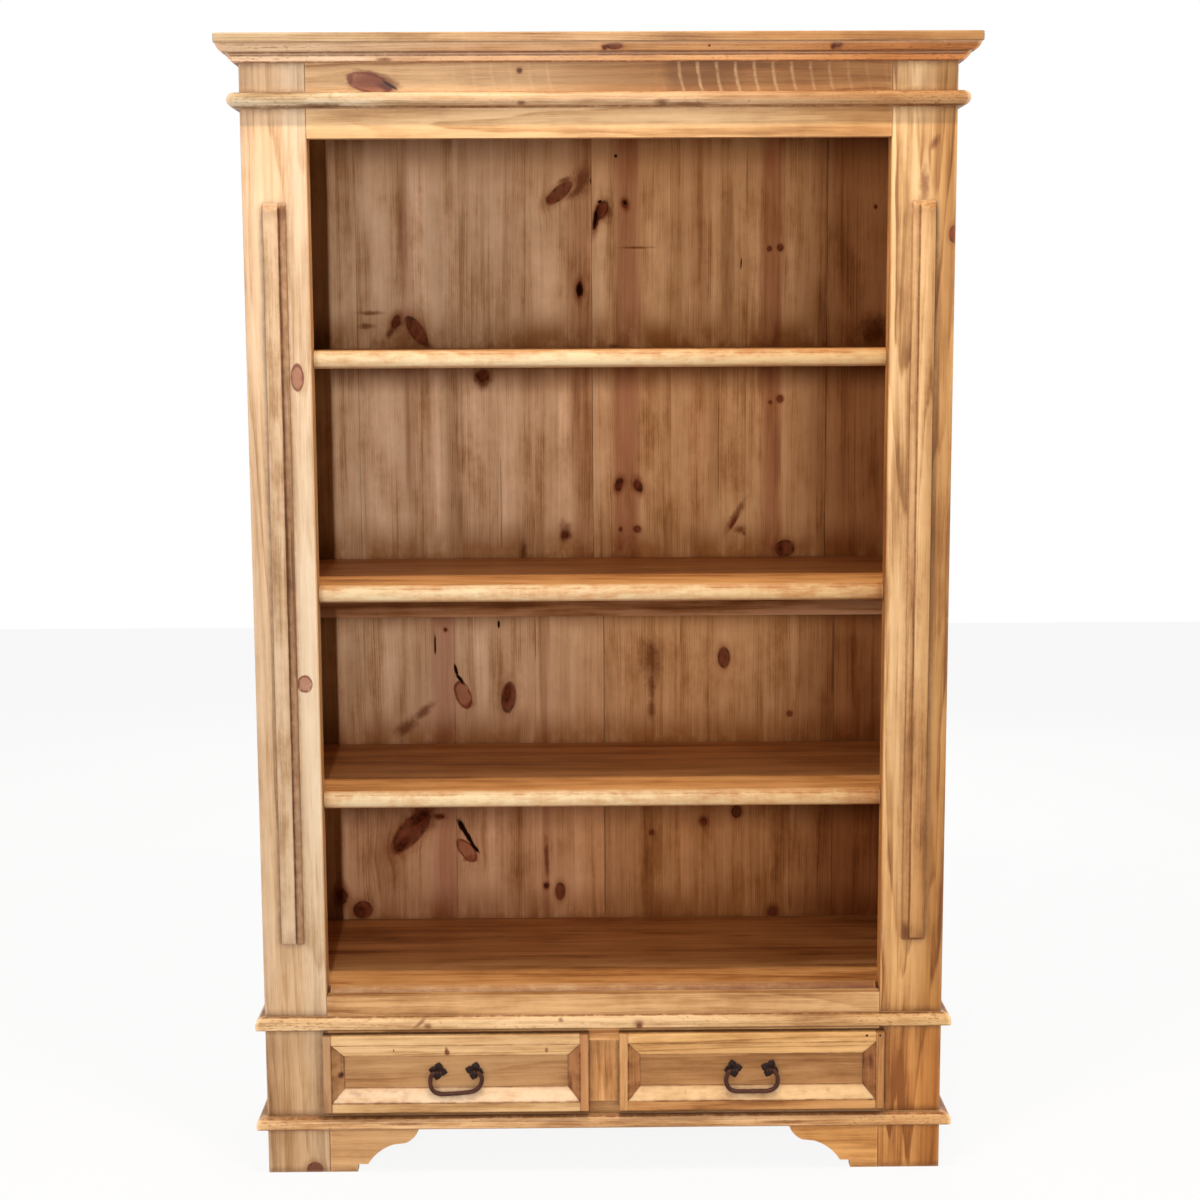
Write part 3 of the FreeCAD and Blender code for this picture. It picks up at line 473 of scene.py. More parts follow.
class BOOKCASE_OT_posts(bpy.types.Operator):
    """Finish the two posts and their raised strips"""
    bl_idname = "bookcase.posts"
    bl_label = "Posts and strips"

    def execute(self, context):
        left = context.scene.bookcase_pine.post
        # The right post is warmer. Both posts darken downwards and on their inner edge faces, the
        # right one also towards its outer edge, and the left one is paler on its inner half:
        # partly the wood's own tone, partly painted light and shade.
        right = shade(left, 1.0, 0.94, 0.78)
        down_left = (("x", -0.497, -0.472, (1.02, 1.12, 1.26)),
                     ("x", -0.53, -0.545, (0.93, 0.94, 0.98)),
                     ("z", 1.5, 0.9, (0.92, 0.94, 0.95)), ("z", 0.34, 0.2, (0.9, 0.84, 0.76)),
                     ("x", -0.4562, -0.4535, (0.7, 0.5, 0.32)))
        down_right = (("x", 0.49, 0.54, (0.66, 0.54, 0.38)), ("z", 0.9, 0.3, (0.84, 0.71, 0.54)),
                      ("x", 0.4562, 0.4535, (0.76, 0.56, 0.38)),
                      ("z", 0.3, 0.2, (1.04, 0.9, 0.72)))
        board("left_post", "zxy", left, 3, pith=(-0.46, 0.05), rings=0.45, bands=0.45,
              brush=0.7, clouds=0.6, wear=0.6, fades=down_left,
              knots={PINK: ((-476, 1308, 9.5, 20), (-476, 820, 11, 13)),
                     RED: ((-479, 5, 13, 12),)})
        board("right_post", "zxy", right, 8, pith=(0.50, 0.05), lean=0.013, rings=1.1,
              brush=1.5, clouds=0.9, sway=0.03, wear=0.5, fades=down_right,
              streaks=((500, 7, 1570, 1815, -0.7), (520, 5, 1560, 1815, -0.6),
                       (478, 5, 1500, 1815, -0.4), (541, 7, 1400, 1815, -0.5),
                       (531, 4, 300, 1500, -0.5), (468, 5, 300, 1560, -0.35)),
              knots={RED: ((552, 1525, 7, 13),), DARK: ((515, 1067, 3, 5),),
                     SMEAR: ((505, 1600, 8, 30), (520, 1665, 7, 14, -30))})
        board("left_post_strip", "zxy", shade(left, 0.88, 0.9, 0.95), 14, pith=(-0.52, 0.02),
              rings=0.4, bands=0.5, clouds=1.8, wear=0.3, fades=down_left,
              extra=shoulder_wax_and_shade(-1, 0.9))
        board("right_post_strip", "zxy", shade(right, 0.9, 0.86, 0.82), 15, pith=(0.50, 0.02),
              rings=0.8, clouds=1.8, brush=1.3, wear=0.3, glaze=0.4, fades=down_right,
              knots={SMEAR: ((493, 404, 7, 20), (505, 393, 18, 4))},
              extra=shoulder_wax_and_shade(1, 0.45))
        for side, way in (("left", 1), ("right", -1)):
            strip(side, way)
        return {"FINISHED"}


# a strip's section, in millimetres in from its outer edge and out from the post
STRIP_SECTION = (
    (0.0, 0.0), (0.0, 5.5), (0.7, 8.0), (2.4, 9.7), (5.0, 10.6), (9.0, 11.0), (14.0, 11.0),
    (18.0, 10.4), (21.0, 9.3), (23.2, 7.6), (24.2, 5.8), (24.6, 4.9), (25.2, 4.9),
    (25.8, 6.0), (27.2, 6.9), (29.6, 7.4), (32.4, 7.0), (34.6, 5.6), (35.7, 3.4), (36.0, 0.0),
)
STRIP_MIDDLE, STRIP_WIDTH, STRIP_DEPTH, STRIP_FOOT = 0.5055, 0.036, 0.011, 0.009


def strip(side, way):
    """The moulded strip on a post: a rounded core, and a quirk and shoulder on its inner side."""
    node = f"{side}_post_strip"
    low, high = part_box(node)
    outer = low.x if way > 0 else high.x
    levels = [low.z + STRIP_FOOT * (1 - math.cos(step * math.pi / 16)) for step in range(8)]
    first, pitch, fine_pitch = low.z + 0.012, 0.0145, 0.0015
    levels += [first + step * pitch for step in range(80)
               if first + step * pitch < high.z - 0.02]
    levels += [high.z - 0.018 + step * fine_pitch for step in range(13)]
    rings = []
    for level in levels:
        up, down = level - low.z, high.z - level
        foot = STRIP_DEPTH * math.sqrt(max(0.0, 1 - max(0.0, 1 - up / STRIP_FOOT) ** 2))
        limit = max(0.0006, min(foot, down * 0.78 + 0.0004))
        sway = 0.00025 * math.sin(level * 37 + way) + 0.00015 * math.sin(level * 91)
        ring = []
        for across, out in STRIP_SECTION:
            inside = across / 1000 + (sway if 3 < across < 34 else 0)
            inside = min(max(inside, 0), STRIP_WIDTH)
            ring.append(Vector((outer + way * inside, high.y - min(out / 1000, limit), level)))
        rings.append(ring)
    loft(f"{side}_moulded_strip", [rings], NODES[node].material_slots[0].material, "case",
         "pine_moulding", node)


def loft(name, runs, material, body, slot, *nodes):
    """A piece skinned over closed rings, capped at both ends, that stands for CAD nodes."""
    shape = bmesh.new()
    for rings in runs:
        loops = [[shape.verts.new(point) for point in ring] for ring in rings]
        for first, second in zip(loops, loops[1:]):
            for index in range(len(first)):
                after = (index + 1) % len(first)
                shape.faces.new((first[index], first[after], second[after], second[index]))
        shape.faces.new(loops[0][::-1])
        shape.faces.new(loops[-1])
    bmesh.ops.remove_doubles(shape, verts=shape.verts, dist=1e-6)
    bmesh.ops.recalc_face_normals(shape, faces=shape.faces)
    mesh = bpy.data.meshes.new(name)
    shape.to_mesh(mesh)
    shape.free()
    mesh.shade_smooth()
    mesh.set_sharp_from_angle(angle=math.radians(38))
    mesh.materials.append(material)
    item = bpy.data.objects.new(name, mesh)
    bpy.context.scene.collection.objects.link(item)
    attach(item, body)
    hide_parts(*nodes)


def shoulder_wax_and_shade(way, strength):
    """Painted shade with dark wax on the shoulder of a strip, a darker outer edge, and dark wax at
    its two ends, all in patches.
    """
    def wax(finish, axes, wood, rough, mottle):
        # strength sets how much painted shade and dark wax the shoulder takes
        inward = STRIP_MIDDLE - axes["x"] * way
        shoulder = inward.between(0.0048, 0.0062)
        edge = 1 - inward.between(-0.0176, -0.0162)
        ends = axes["z"].between(1.535, 1.57) + (1 - axes["z"].between(0.392, 0.43))
        patch = (rough * 1.6 + mottle * 1.6 - 0.9).clamped()
        wood = finish.stain(wood, (0.62, 0.47, 0.34),
                            (shoulder * 0.75 * strength + edge * 0.7) * (0.55 + patch * 0.6))
        return finish.stain(wood, (0.42, 0.28, 0.18),
                            (shoulder * 0.7 * strength + ends * 0.45).least(1.0) * patch)
    return wax


class BOOKCASE_OT_rails(bpy.types.Operator):
    """Finish the rails, the centre stile and the foot brackets"""
    bl_idname = "bookcase.rails"
    bl_label = "Rails and feet"

    def execute(self, context):
        rail = context.scene.bookcase_pine.rail
        # The top rail is browner towards the right: painted shade.
        board("top_rail", "xzy", shade(rail, 0.92, 0.93, 0.92), 21, pith=(1.70, 0.05),
              lean=0.01, bands=0.7, brush=0.8, clouds=0.8, wear=0.4, glaze=0.4,
              fades=(("x", 0.2, 0.46, (0.84, 0.72, 0.56)),), extra=saw_marks,
              knots={PINK: ((1758, -354, 14, 33, 14),), CRACK: ((1755, -323, 2.6, 14, 30),),
                     DARK: ((1776, -123, 4, 4), (1752, -329, 4, 11, 22)),
                     SMEAR: ((1773, -350, 4, 30, 12), (1760, -323, 8, 18, 26),
                             (1759, -352, 14, 36))})
        # The strip below the waist moulding is painted lighter: painted light against the
        # moulding's shadow.
        board("waist_rail", "xzy", shade(rail, 0.93, 0.89, 0.8), 22, pith=(0.30, 0.04),
              lean=0.008, rings=0.6, wear=0.2, glaze=0.1,
              fades=(("z", 0.2475, 0.2455, (1.35, 1.3, 1.22)),))
        # The lower rail is darker as painted shade, where it lies in shadow under the drawers.
        board("lower_rail", "xzy", shade(rail, 0.75, 0.7, 0.62), 23, pith=(0.10, 0.04),
              glaze=0.5)
        board("centre_stile", "zxy", shade(rail, 1.12, 1.02, 0.85), 24, pith=(0.02, 0.03),
              rings=0.4, wear=0.3)
        board("left_foot_bracket", "xzy", shade(rail, 0.83, 0.76, 0.66), 25, pith=(0.05, 0.03),
              rings=0.4, wear=0.5)
        board("right_foot_bracket", "xzy", shade(rail, 1.0, 0.82, 0.53), 26, pith=(0.08, 0.03),
              rings=0.4, wear=0.5)
        return {"FINISHED"}


def saw_marks(finish, axes, wood, rough, mottle):
    """Pale curved marks of the saw across the frieze, its darker patch, and painted light below
    the bead.
    """
    x, z = axes["x"], axes["z"]
    low, high, pitch = 1.742, 1.792, 0.029
    bow = (z - high) / (low - high)
    run = (x - 0.108 - bow * bow * 0.009 + (rough - 0.5) * 0.004) / pitch
    pulse = run.maths("FRACT").near(0.5, 0.01, 0.14)
    right = x.between(0.09, 0.13) * (1 - x.between(0.22, 0.46) * 0.85)
    left = x.between(-0.25, -0.21) * (1 - x.between(-0.08, -0.05)) * 0.5
    frieze = z.between(low - 0.003, low + 0.001)
    edge = x + (mottle - 0.5) * 0.05
    dark = edge.between(0.09, 0.115) * (1 - edge.between(0.18, 0.25))
    long = edge.between(-0.24, 0.12) * (1 - edge.between(0.28, 0.46) * 0.5)
    wood = finish.stain(wood, (0.58, 0.43, 0.28), long * frieze)
    wood = finish.stain(wood, (0.5, 0.38, 0.28), dark * frieze * mottle * 1.3)
    wood = finish.blend(wood, tint(226, 186, 138),
                        pulse * frieze * (right + left) * (rough * 1.6 - 0.2).most(0.0) * 0.75)

    # darker wood round the large knot, painted light below the bead against its shadow, a duller
    # lower edge
    beside, above = x + 0.352, z - 1.760
    knotty = (beside * beside * 900 + above * above * 5200).maths("SQRT")
    for tone, mask in (((0.78, 0.68, 0.64), (knotty + (mottle - 0.5)).between(0.5, 1.15)),
                       ((1.08, 1.09, 1.08), z.between(1.723, 1.738)),
                       ((0.9, 0.88, 0.84), z.between(1.682, 1.694))):
        wood = finish.stain(wood, tone, 1 - mask)
    return wood


class BOOKCASE_OT_sides(bpy.types.Operator):
    """Finish the two side panels"""
    bl_idname = "bookcase.sides"
    bl_label = "Side panels"

    def execute(self, context):
        colour = context.scene.bookcase_pine.post
        # painted shade on the inner faces of the side panels
        shaded = (0.6, 0.48, 0.36)
        board("left_side_panel", "zyx", shade(colour, 0.9, 0.86, 0.8), 31, pith=(0.03, 0.62),
              strips=((-62, 0.08), (78, -0.12)), wear=0.4,
              fades=(("x", -0.532, -0.5305, shaded),),
              knots={RED: ((20, 1200, 12, 17), (150, 560, 9, 12)), DARK: ((-90, 820, 5, 8),)})
        board("right_side_panel", "zyx", shade(colour, 0.86, 0.80, 0.72), 37, pith=(0.03, 0.62),
              strips=((-40, -0.1), (102, 0.1)), wear=0.4,
              fades=(("x", 0.532, 0.5305, shaded),),
              knots={RED: ((-10, 610, 11, 16), (160, 1390, 10, 13)), DARK: ((60, 1010, 6, 9),)})
        return {"FINISHED"}


def waxed_quirks(*quirks):
    """Dark wax in patches along a moulding, at each height and as far above and below it."""
    def wax(finish, axes, wood, rough, mottle):
        for height, reach in quirks:
            near = (axes["z"] + (rough - 0.5) * 0.0016).near(height / 1000, 0.0, reach / 1000)
            wood = finish.stain(wood, (0.4, 0.25, 0.16),
                                (near * (rough * 2.4 + mottle * 1.8 - 1.2)).clamped(0.95))
        specks = finish.noise(finish.joined(*axes.values()), (110.0, 110.0, 420.0), detail=3.0,
                              roughness=0.7)
        ends = abs(axes["x"]).between(0.3, 0.52) * 0.06
        return finish.stain(wood, (0.46, 0.31, 0.22),
                            (specks + ends + (mottle - 0.5) * 0.3).between(0.6, 0.72) * 0.75)
    return wax


# each moulding's tone, its fades (paler to the left and browner to the right as painted light and
# shade, and on the cornice painted light over its lower part against its own shadow), the marks on
# its front and the heights and reaches of wax
MOULDINGS = {
    "cornice": dict(
        tone=(0.78, 0.7, 0.68),
        fades=(("x", -0.12, -0.46, (1.08, 1.3, 1.6)), ("x", -0.1, 0.12, (0.98, 0.88, 0.72)),
               ("x", 0.03, 0.52, (0.82, 0.62, 0.42)), ("z", 1.7995, 1.797, (1.32, 1.36, 1.42))),
        marks={RED: ((1809, 23, 5, 12), (1811, 364, 5, 7)),
               DARK: ((1807, 8, 4, 4), (1807, 357, 3, 3), (1809, 168, 1.5, 1.5)),
               SMEAR: ((1792, -330, 3, 14),)},
        quirks=((1814.6, 1.8), (1801.5, 2.6), (1797.5, 1.2), (1789.5, 1.6))),
    "frieze_bead": dict(
        tone=(0.68, 0.71, 0.79),
        fades=(("x", -0.2, -0.46, (1.12, 1.4, 1.7)), ("x", 0.03, 0.52, (0.78, 0.63, 0.44))),
        marks={SMEAR: ((1723, -430, 4, 40), (1726, -120, 4, 8), (1726, 96, 6, 12),
                       (1724, 140, 3, 40))},
        quirks=((1721.5, 2.4), (1743.4, 1.0))),
    "waist_moulding": dict(
        tone=(0.98, 1.06, 1.1),
        fades=(("x", 0.03, 0.52, (0.86, 0.76, 0.62)),),
        marks={SMEAR: ((259, -300, 4, 14, -40), (254, -288, 6, 7), (256, 56, 7, 10),
                       (262, -70, 4, 5)),
               RED: ((251, 58, 3.5, 4),)},
        quirks=((247.2, 2.2), (267.6, 1.8))),
    "base_moulding": dict(
        tone=(1.0, 1.0, 0.98),
        fades=(("x", 0.03, 0.52, (0.84, 0.74, 0.6)),),
        marks={SMEAR: ((88, -330, 3, 40), (86, 300, 3, 50))},
        quirks=((78.3, 2.4), (96.4, 2.2))),
}


class BOOKCASE_OT_mouldings(bpy.types.Operator):
    """Finish the top board and every moulding"""
    bl_idname = "bookcase.mouldings"
    bl_label = "Top and mouldings"

    def execute(self, context):
        colour = context.scene.bookcase_pine.moulding
        # The top board is paler to the left and browner to the right: painted light and shade.
        board("top_board", "xyz", shade(colour, 0.56, 0.55, 0.54), 41, pith=(0.05, 1.76),
              lean=0.01, strips=((-60, 0.07), (95, -0.08)), wear=0.6, clouds=1.3,
              fades=(("x", -0.15, -0.4, (1.06, 1.2, 1.36)), ("x", 0.0, 0.3, (0.88, 0.73, 0.53))),
              knots={RED: ((60, -250, 12, 18), (-120, 300, 9, 12))})
        seed = 43
        for name, look in MOULDINGS.items():
            warm = shade(colour, *look["tone"])
            # The right returns are a darker copy of the front's tone: painted shade on the side
            # that faces away from the key light.
            for side, tone in (("front", warm), ("left", warm),
                               ("right", shade(warm, 0.95, 0.9, 0.84))):
                board(f"{name}_{side}", "xzy" if side == "front" else "yzx", tone, seed,
                      pith=(1.0, 0.04), lean=0.006, wear=1.0, clouds=1.5, patch=42.0, rings=0.4,
                      fades=look["fades"], extra=waxed_quirks(*look["quirks"]),
                      knots=look["marks"] if side == "front" else None)
                seed += 1
        return {"FINISHED"}


# how brown each shelf's nose is, and the tint of its right end, both partly the wood's own tone
# and partly painted shade
NOSES = {"bottom": (0.85, None), "lower": (0.06, (0.66, 0.5, 0.36)),
         "middle": (0.06, (0.66, 0.5, 0.36)), "top": (0.06, (0.9, 0.86, 0.76))}
HALF_SHELF = 0.014


class BOOKCASE_OT_shelves(bpy.types.Operator):
    """Finish the four shelves"""
    bl_idname = "bookcase.shelves"
    bl_label = "Shelves"

    def execute(self, context):
        colour = context.scene.bookcase_pine.shelf
        for step, name in enumerate(NOSES):
            # Each shelf darkens towards the back: partly darker wax, partly painted shade from the
            # shelf above.
            board(f"{name}_shelf", "xyz", colour, 61 + step,
                  pith=(-0.05 + 0.04 * step, 0.3 + 0.2 * step), lean=0.02,
                  strips=((-70 + 23 * step, 0.06), (60 + 11 * step, -0.06)), wear=0.8,
                  glaze=0.8, rings=0.6, clouds=1.1, fades=(("y", -0.10, 0.0, (0.7, 0.56, 0.44)),),
                  extra=pale_nose(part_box(f"{name}_shelf")[1].z, *NOSES[name]))
        return {"FINISHED"}


def pale_nose(top, brown, right_tone):
    """The rubbed front edge of a shelf, paler than its top with a painted highlight, with painted
    shade and dark wax above and beneath where it rounds over, and darker ends.
    """
    def rubbed_and_shaded(finish, axes, wood, rough, mottle):
        x, y, z = axes.values()
        flame = finish.noise(finish.joined(x, y, z), (16.0, 60.0, 60.0), (top, 0.0, 0.0),
                             detail=4.0, roughness=0.7)
        blotch = (flame * 2.8 + rough * 0.7 - 1.5).clamped()
        front = 1 - (y + (flame - 0.5) * 0.006).between(-0.1685, -0.160)
        height = (z - (top - HALF_SHELF)) * (1 / HALF_SHELF) + (flame - 0.5) * 0.35
        ends = (abs(x).between(0.44, 0.47) * (flame * 2.6 - 0.8)).clamped()
        # worn pale wood with a painted highlight, painted shade with dark wax where the nose
        # rounds over at top and bottom, and darker ends partly as painted shade
        for tone, mask in (
                (finish.blend(tint(230, 211, 172), tint(196, 142, 92), blotch), 0.85),
                (tint(190, 132, 78), height.between(0.5, 0.85) * (0.25 + blotch * 0.5)),
                (tint(150, 92, 52), height.near(0.62, 0.0, 0.14) * (0.15 + blotch * 0.75)),
                (tint(116, 64, 36), (-height).between(0.55, 0.95) * (0.6 + blotch * 0.3)),
                (tint(120, 66, 36), ends * 0.8)):
            wood = finish.blend(wood, tone, front * mask)
        # browner towards the right and at the right end: partly the wood's own tone, partly
        # painted shade
        wood = finish.stain(wood, (0.9, 0.76, 0.6), x.between(-0.1, 0.4) * front)
        if right_tone is not None:
            end = (x + (flame - 0.5) * 0.12).between(0.35, 0.465)
            wood = finish.stain(wood, right_tone, end * front)
        wood = finish.blend(wood, tint(172, 118, 70), front * brown * (0.75 + blotch * 0.25))
        darker = (x + (flame - 0.5) * 0.5).between(-0.1, 0.42) * 0.8 + blotch * 0.25
        return finish.blend(wood, tint(118, 66, 34), front * brown * darker.least(1.0))
    return rubbed_and_shaded


# painted shade just above and below each shelf, as height, reach and strength
SHELF_SHADE = ((1349, 85, 1.2), (1349, 60, 0.5), (975, 85, 1.2), (872, 40, 0.6), (637, 75, 1.1),
         (310, 75, 1.0), (1675, 60, 0.5))

# glue lines, knots, cracks, heartwood and stripes of the back boards, from left to right
UPPER_BOARDS = (
    dict(
        strips=((-424, 0.1), (-243, -0.06)),
        knots={
            RED: ((-66, 1618, 11, 27, -50), (-320, 1380, 12, 30, 34)),
            SMEAR: ((-26, 1640, 16, 34, -8), (-84, 1607, 8, 8), (-34, 1622, 24, 9, 40),
                (-58, 1640, 14, 5, 20), (-366, 1378, 7, 12, -30), (-302, 1354, 8, 14, 30),
                (-400, 1411, 26, 4.5), (-408, 1388, 16, 6), (-205, 1290, 16, 16),
                (-60, 1022, 14, 22), (-135, 985, 8, 26)),
            CRACK: ((-32, 1450, 6, 15), (-10, 1638, 2, 7)),
            DARK: ((-32, 1450, 7, 17), (-356, 1396, 9, 14, -22), (-205, 1301, 13, 12),
                (-60, 1016, 6, 6)),
        },
        lines=((-424, 910, 1690, 0.3), (-243, 910, 1690, 0.15), (-174, 985, 1165, 0.45)),
        hearts=((-335, 7, 0.3), (-30, 16, 0.4)),
        streaks=((-318, 22, 1390, 1700, 1.1), (-388, 22, 1400, 1720, 0.45),
            (-436, 12, 1500, 1700, -0.6), (-404, 9, 1420, 1600, -0.5), (-345, 9, 1470, 1720, -0.5),
            (-240, 5, 1360, 1620, -0.7), (-262, 16, 1400, 1640, 0.4), (-205, 5, 1380, 1660, -0.4),
            (-165, 5, 1380, 1680, -0.4), (-90, 30, 1360, 1560, 0.45), (-18, 12, 1360, 1570, 0.9),
            (-470, 26, 1400, 1720, -0.25), (-385, 36, 985, 1330, 0.5), (-341, 5, 1060, 1340, -0.7),
            (-290, 8, 1000, 1330, 0.9), (-262, 16, 985, 1330, -0.55), (-222, 22, 1060, 1345, 0.6),
            (-247, 12, 985, 1120, -0.8), (-160, 16, 1000, 1280, 0.35),
            (-120, 26, 1230, 1345, -0.8), (-60, 12, 1030, 1310, 0.8), (-38, 9, 1160, 1340, -0.6),
            (-136, 18, 960, 1070, -0.7))),
    dict(
        strips=((128.5, 0.02), (262, -0.02)),
        knots={
            RED: ((8, 1588, 10, 17, -25), (303, 1520, 4, 4.5), (322, 1522, 5.5, 6),
                (39, 1026, 3, 4), (69, 1026, 6.5, 6), (241, 1036, 3, 12, -30), (306, 1251, 3, 3),
                (323, 1257, 6, 6.5), (334, 990, 17, 15)),
            DARK: ((-2, 1573, 5.5, 24, -10), (49, 1598, 6, 9, 15), (37, 1106, 8, 13, -18),
                (71, 1104, 8, 13, 18), (326, 986, 4, 10)),
            SMEAR: ((17, 1586, 11, 20), (27, 1350, 10, 7), (69, 1523, 31, 2.5),
                (245, 1050, 7, 38, -32), (252, 1024, 12, 8), (260, 1018, 4, 6)),
            CRACK: ((-3, 1573, 3, 19, -8), (5, 1603, 5, 3, 20), (49, 1600, 3, 4),
                (33, 1681, 3, 3.5), (253, 1494, 1.4, 11, -4)),
        },
        lines=((128.5, 910, 1690, 0.15), (262, 910, 1690, 0.2), (214, 1080, 1262, 0.45),
            (403, 1600, 1716, 0.5)),
        hearts=((51, 20, 0.85), (309, 18, 0.8), (180, 16, 0.25)),
        streaks=((8, 12, 1380, 1700, 0.6), (144, 10, 1340, 1700, -0.45),
            (100, 20, 1360, 1640, 0.35), (198, 12, 1340, 1640, 0.3), (228, 15, 1350, 1640, -0.75),
            (272, 18, 1380, 1640, 0.5), (340, 9, 1420, 1640, 0.6), (318, 8, 1330, 1500, -0.5),
            (380, 30, 1330, 1500, -0.35), (178, 18, 1010, 1290, 0.6), (206, 10, 1010, 1345, -0.5),
            (232, 12, 1020, 1330, 0.3), (128, 7, 1150, 1340, -0.5), (15, 18, 1020, 1330, 0.35),
            (318, 9, 1080, 1240, -0.6), (92, 16, 1040, 1300, 0.35), (285, 12, 1060, 1300, 0.35),
            (390, 20, 1050, 1320, -0.4), (210, 30, 1270, 1350, -0.6))),
    dict(
        knots={
            SMEAR: ((489, 1592, 4, 5), (490, 1380, 30, 30)),
            DARK: ((489, 1592, 2, 3),),
        },
        lines=((457.6, 910, 1690, 0.25),),
        streaks=((470, 12, 1440, 1600, 0.5), (440, 10, 1040, 1330, -0.4),
            (492, 18, 1060, 1200, -0.4))),
)
LOWER_BOARDS = (
    dict(
        strips=((-424, 0.06), (-262, -0.05), (-115, 0.05)),
        knots={
            CRACK: ((-259, 772, 3.5, 14, 14), (-252, 756, 4, 13, 40), (-296, 819, 2, 21),
                (-181, 855, 2.5, 8), (-244, 468, 5, 36, 31), (-230, 444, 3.5, 16, 38),
                (-253, 484, 6, 14, 20)),
            PINK: ((-247, 727, 13, 25, 22), (-244, 438, 12, 24, 38)),
            SMEAR: ((-236, 708, 12, 6, 20), (-318, 697, 9, 28, -48), (-350, 668, 15, 28, -52),
                (-322, 505, 26, 34, -35), (-240, 424, 13, 6, 15), (-98, 420, 5, 48, 2)),
            RED: ((-165, 721, 13, 28, -6), (-346, 474, 20, 46, -42), (-436, 328, 17, 16),
                (-74, 360, 9, 16)),
            DARK: ((-167, 727, 5, 14, -10), (-277, 846, 3.5, 3.5), (-362, 449, 6, 15, -40),
                (-330, 497, 4, 13, -48), (-293, 502, 9, 5), (-442, 324, 9, 9), (-474, 354, 11, 17),
                (-99, 370, 5, 6)),
        },
        lines=((-424, 310, 872, 0.2), (-262, 310, 872, 0.3), (-115, 780, 872, 0.5)),
        hearts=((-283, 20, 0.7), (-100, 8, 0.5)),
        streaks=((-385, 30, 670, 880, 0.4), (-330, 12, 660, 870, -0.45), (-215, 16, 670, 880, 0.5),
            (-140, 14, 660, 840, 0.4), (-60, 14, 660, 850, -0.35), (-445, 20, 660, 860, -0.3),
            (-390, 20, 310, 560, -0.35), (-200, 18, 330, 620, 0.4), (-140, 10, 310, 560, -0.4),
            (-40, 16, 320, 600, 0.35))),
    dict(
        strips=((115, 0.04), (147, -0.04)),
        knots={
            RED: ((225, 792, 11, 19), (345, 688, 5, 5), (249, 507, 9, 12)),
            DARK: ((94, 469, 5, 5), (189, 489, 7, 7), (316, 317, 10, 12)),
            SMEAR: ((94, 790, 20, 46), (94, 742, 9, 30), (94, 700, 8, 22)),
        },
        lines=((147, 805, 872, 0.5), (9, 310, 872, 0.3), (422, 715, 872, 0.6)),
        streaks=((50, 18, 660, 870, 0.4), (170, 20, 660, 880, 0.35), (290, 16, 660, 870, -0.35),
            (370, 20, 660, 860, -0.3), (150, 12, 320, 600, 0.35), (280, 14, 320, 600, -0.35),
            (215, 10, 320, 600, -0.3))),
    dict(
        lines=((495, 310, 872, 0.3),)),
)


class BOOKCASE_OT_back(bpy.types.Operator):
    """Finish the back boards and their middle rail"""
    bl_idname = "bookcase.back"
    bl_label = "Back"

    def execute(self, context):
        colour = context.scene.bookcase_pine.back
        for row, boards, seed, pith in (("upper", UPPER_BOARDS, 74, -0.1),
                                        ("lower", LOWER_BOARDS, 75.5, 0.05)):
            for count, look in enumerate(boards, 1):
                # On the inner face of the back: the left post's shadow painted at the left edge,
                # painted shade towards the right and lower down, and lower still a lighter left
                # board and darker others, partly painted shade.
                low_tone = (1.08, 1.06, 1.06) if count == 1 else (0.87, 0.84, 0.8)
                board(f"back_{row}_board_{count}", "zxy", colour, seed + count * 5,
                      pith=(pith + count * 0.2, 0.28), lean=0.02, rings=0.35, bands=0.8,
                      brush=0.75, clouds=1.5, glaze=0.4, gloss=0.0, grime=SHELF_SHADE,
                      inner_face=0.219,
                      fades=(("x", -0.25, 0.15, (1.0, 0.86, 0.66)),
                             ("x", 0.3, 0.46, (0.48, 0.34, 0.26)),
                             ("z", 0.9, 0.45, (0.86, 0.74, 0.66)),
                             ("x", -0.471, -0.475, (0.66, 0.53, 0.32)),
                             ("z", 0.62, 0.5, low_tone)), **look)
        board("middle_back_rail", "xzy", shade(colour, 0.88, 0.7, 0.58), 97, pith=(0.9, 0.3),
              brush=1.4, gloss=0.0)
        return {"FINISHED"}


# tones of a drawer frame's lengths, each as its flat's and its bevel's: partly the wood's own
# tone, partly painted light and shade by the way each face turns
FRAME_TONES = {
    "left": {"top": ((1.0, 1.04, 1.06), (1.18, 1.27, 1.34)),
             "low": ((1.0, 1.04, 1.04), (0.95, 0.9, 0.85)),
             "left": ((0.68, 0.64, 0.66), (0.6, 0.52, 0.46)),
             "right": ((0.65, 0.48, 0.38), (0.56, 0.4, 0.32))},
    "right": {"top": ((1.2, 1.26, 1.2), (1.2, 1.24, 1.18)),
              "low": ((0.88, 0.76, 0.62), (0.9, 0.85, 0.8)),
              "left": ((0.92, 0.85, 0.8), (0.64, 0.5, 0.4)),
              "right": ((0.8, 0.68, 0.56), (0.52, 0.38, 0.3))},
}

# their knots and marks, and the painted highlight on the lower bevel, which faces up
FRAME_MARKS = {
    "left": {RED: ((208, -257, 4.5, 3.5),), DARK: ((-431, 171, 4, 4.5),),
             CRACK: ((127.5, -437, 2.5, 6, 30), (213, -344, 3.5, 1)),
             SMEAR: ((214, -258, 7, 3), (211, -94, 6, 3), (134, -325, 7, 10, 30),
                     (-55, 150, 4, 20), (137, -405, 5, 12))},
    "right": {CRACK: ((234, 430, 2, 2.5), (452, 234, 2, 2.5), (126, 437, 2.5, 4)),
              DARK: ((138, 134, 3, 1.5), (139, 368, 2, 2)), SMEAR: ((438, 190, 4, 18),)},
}
LIT_BEVEL = {"left": tint(240, 208, 172), "right": tint(234, 196, 146)}

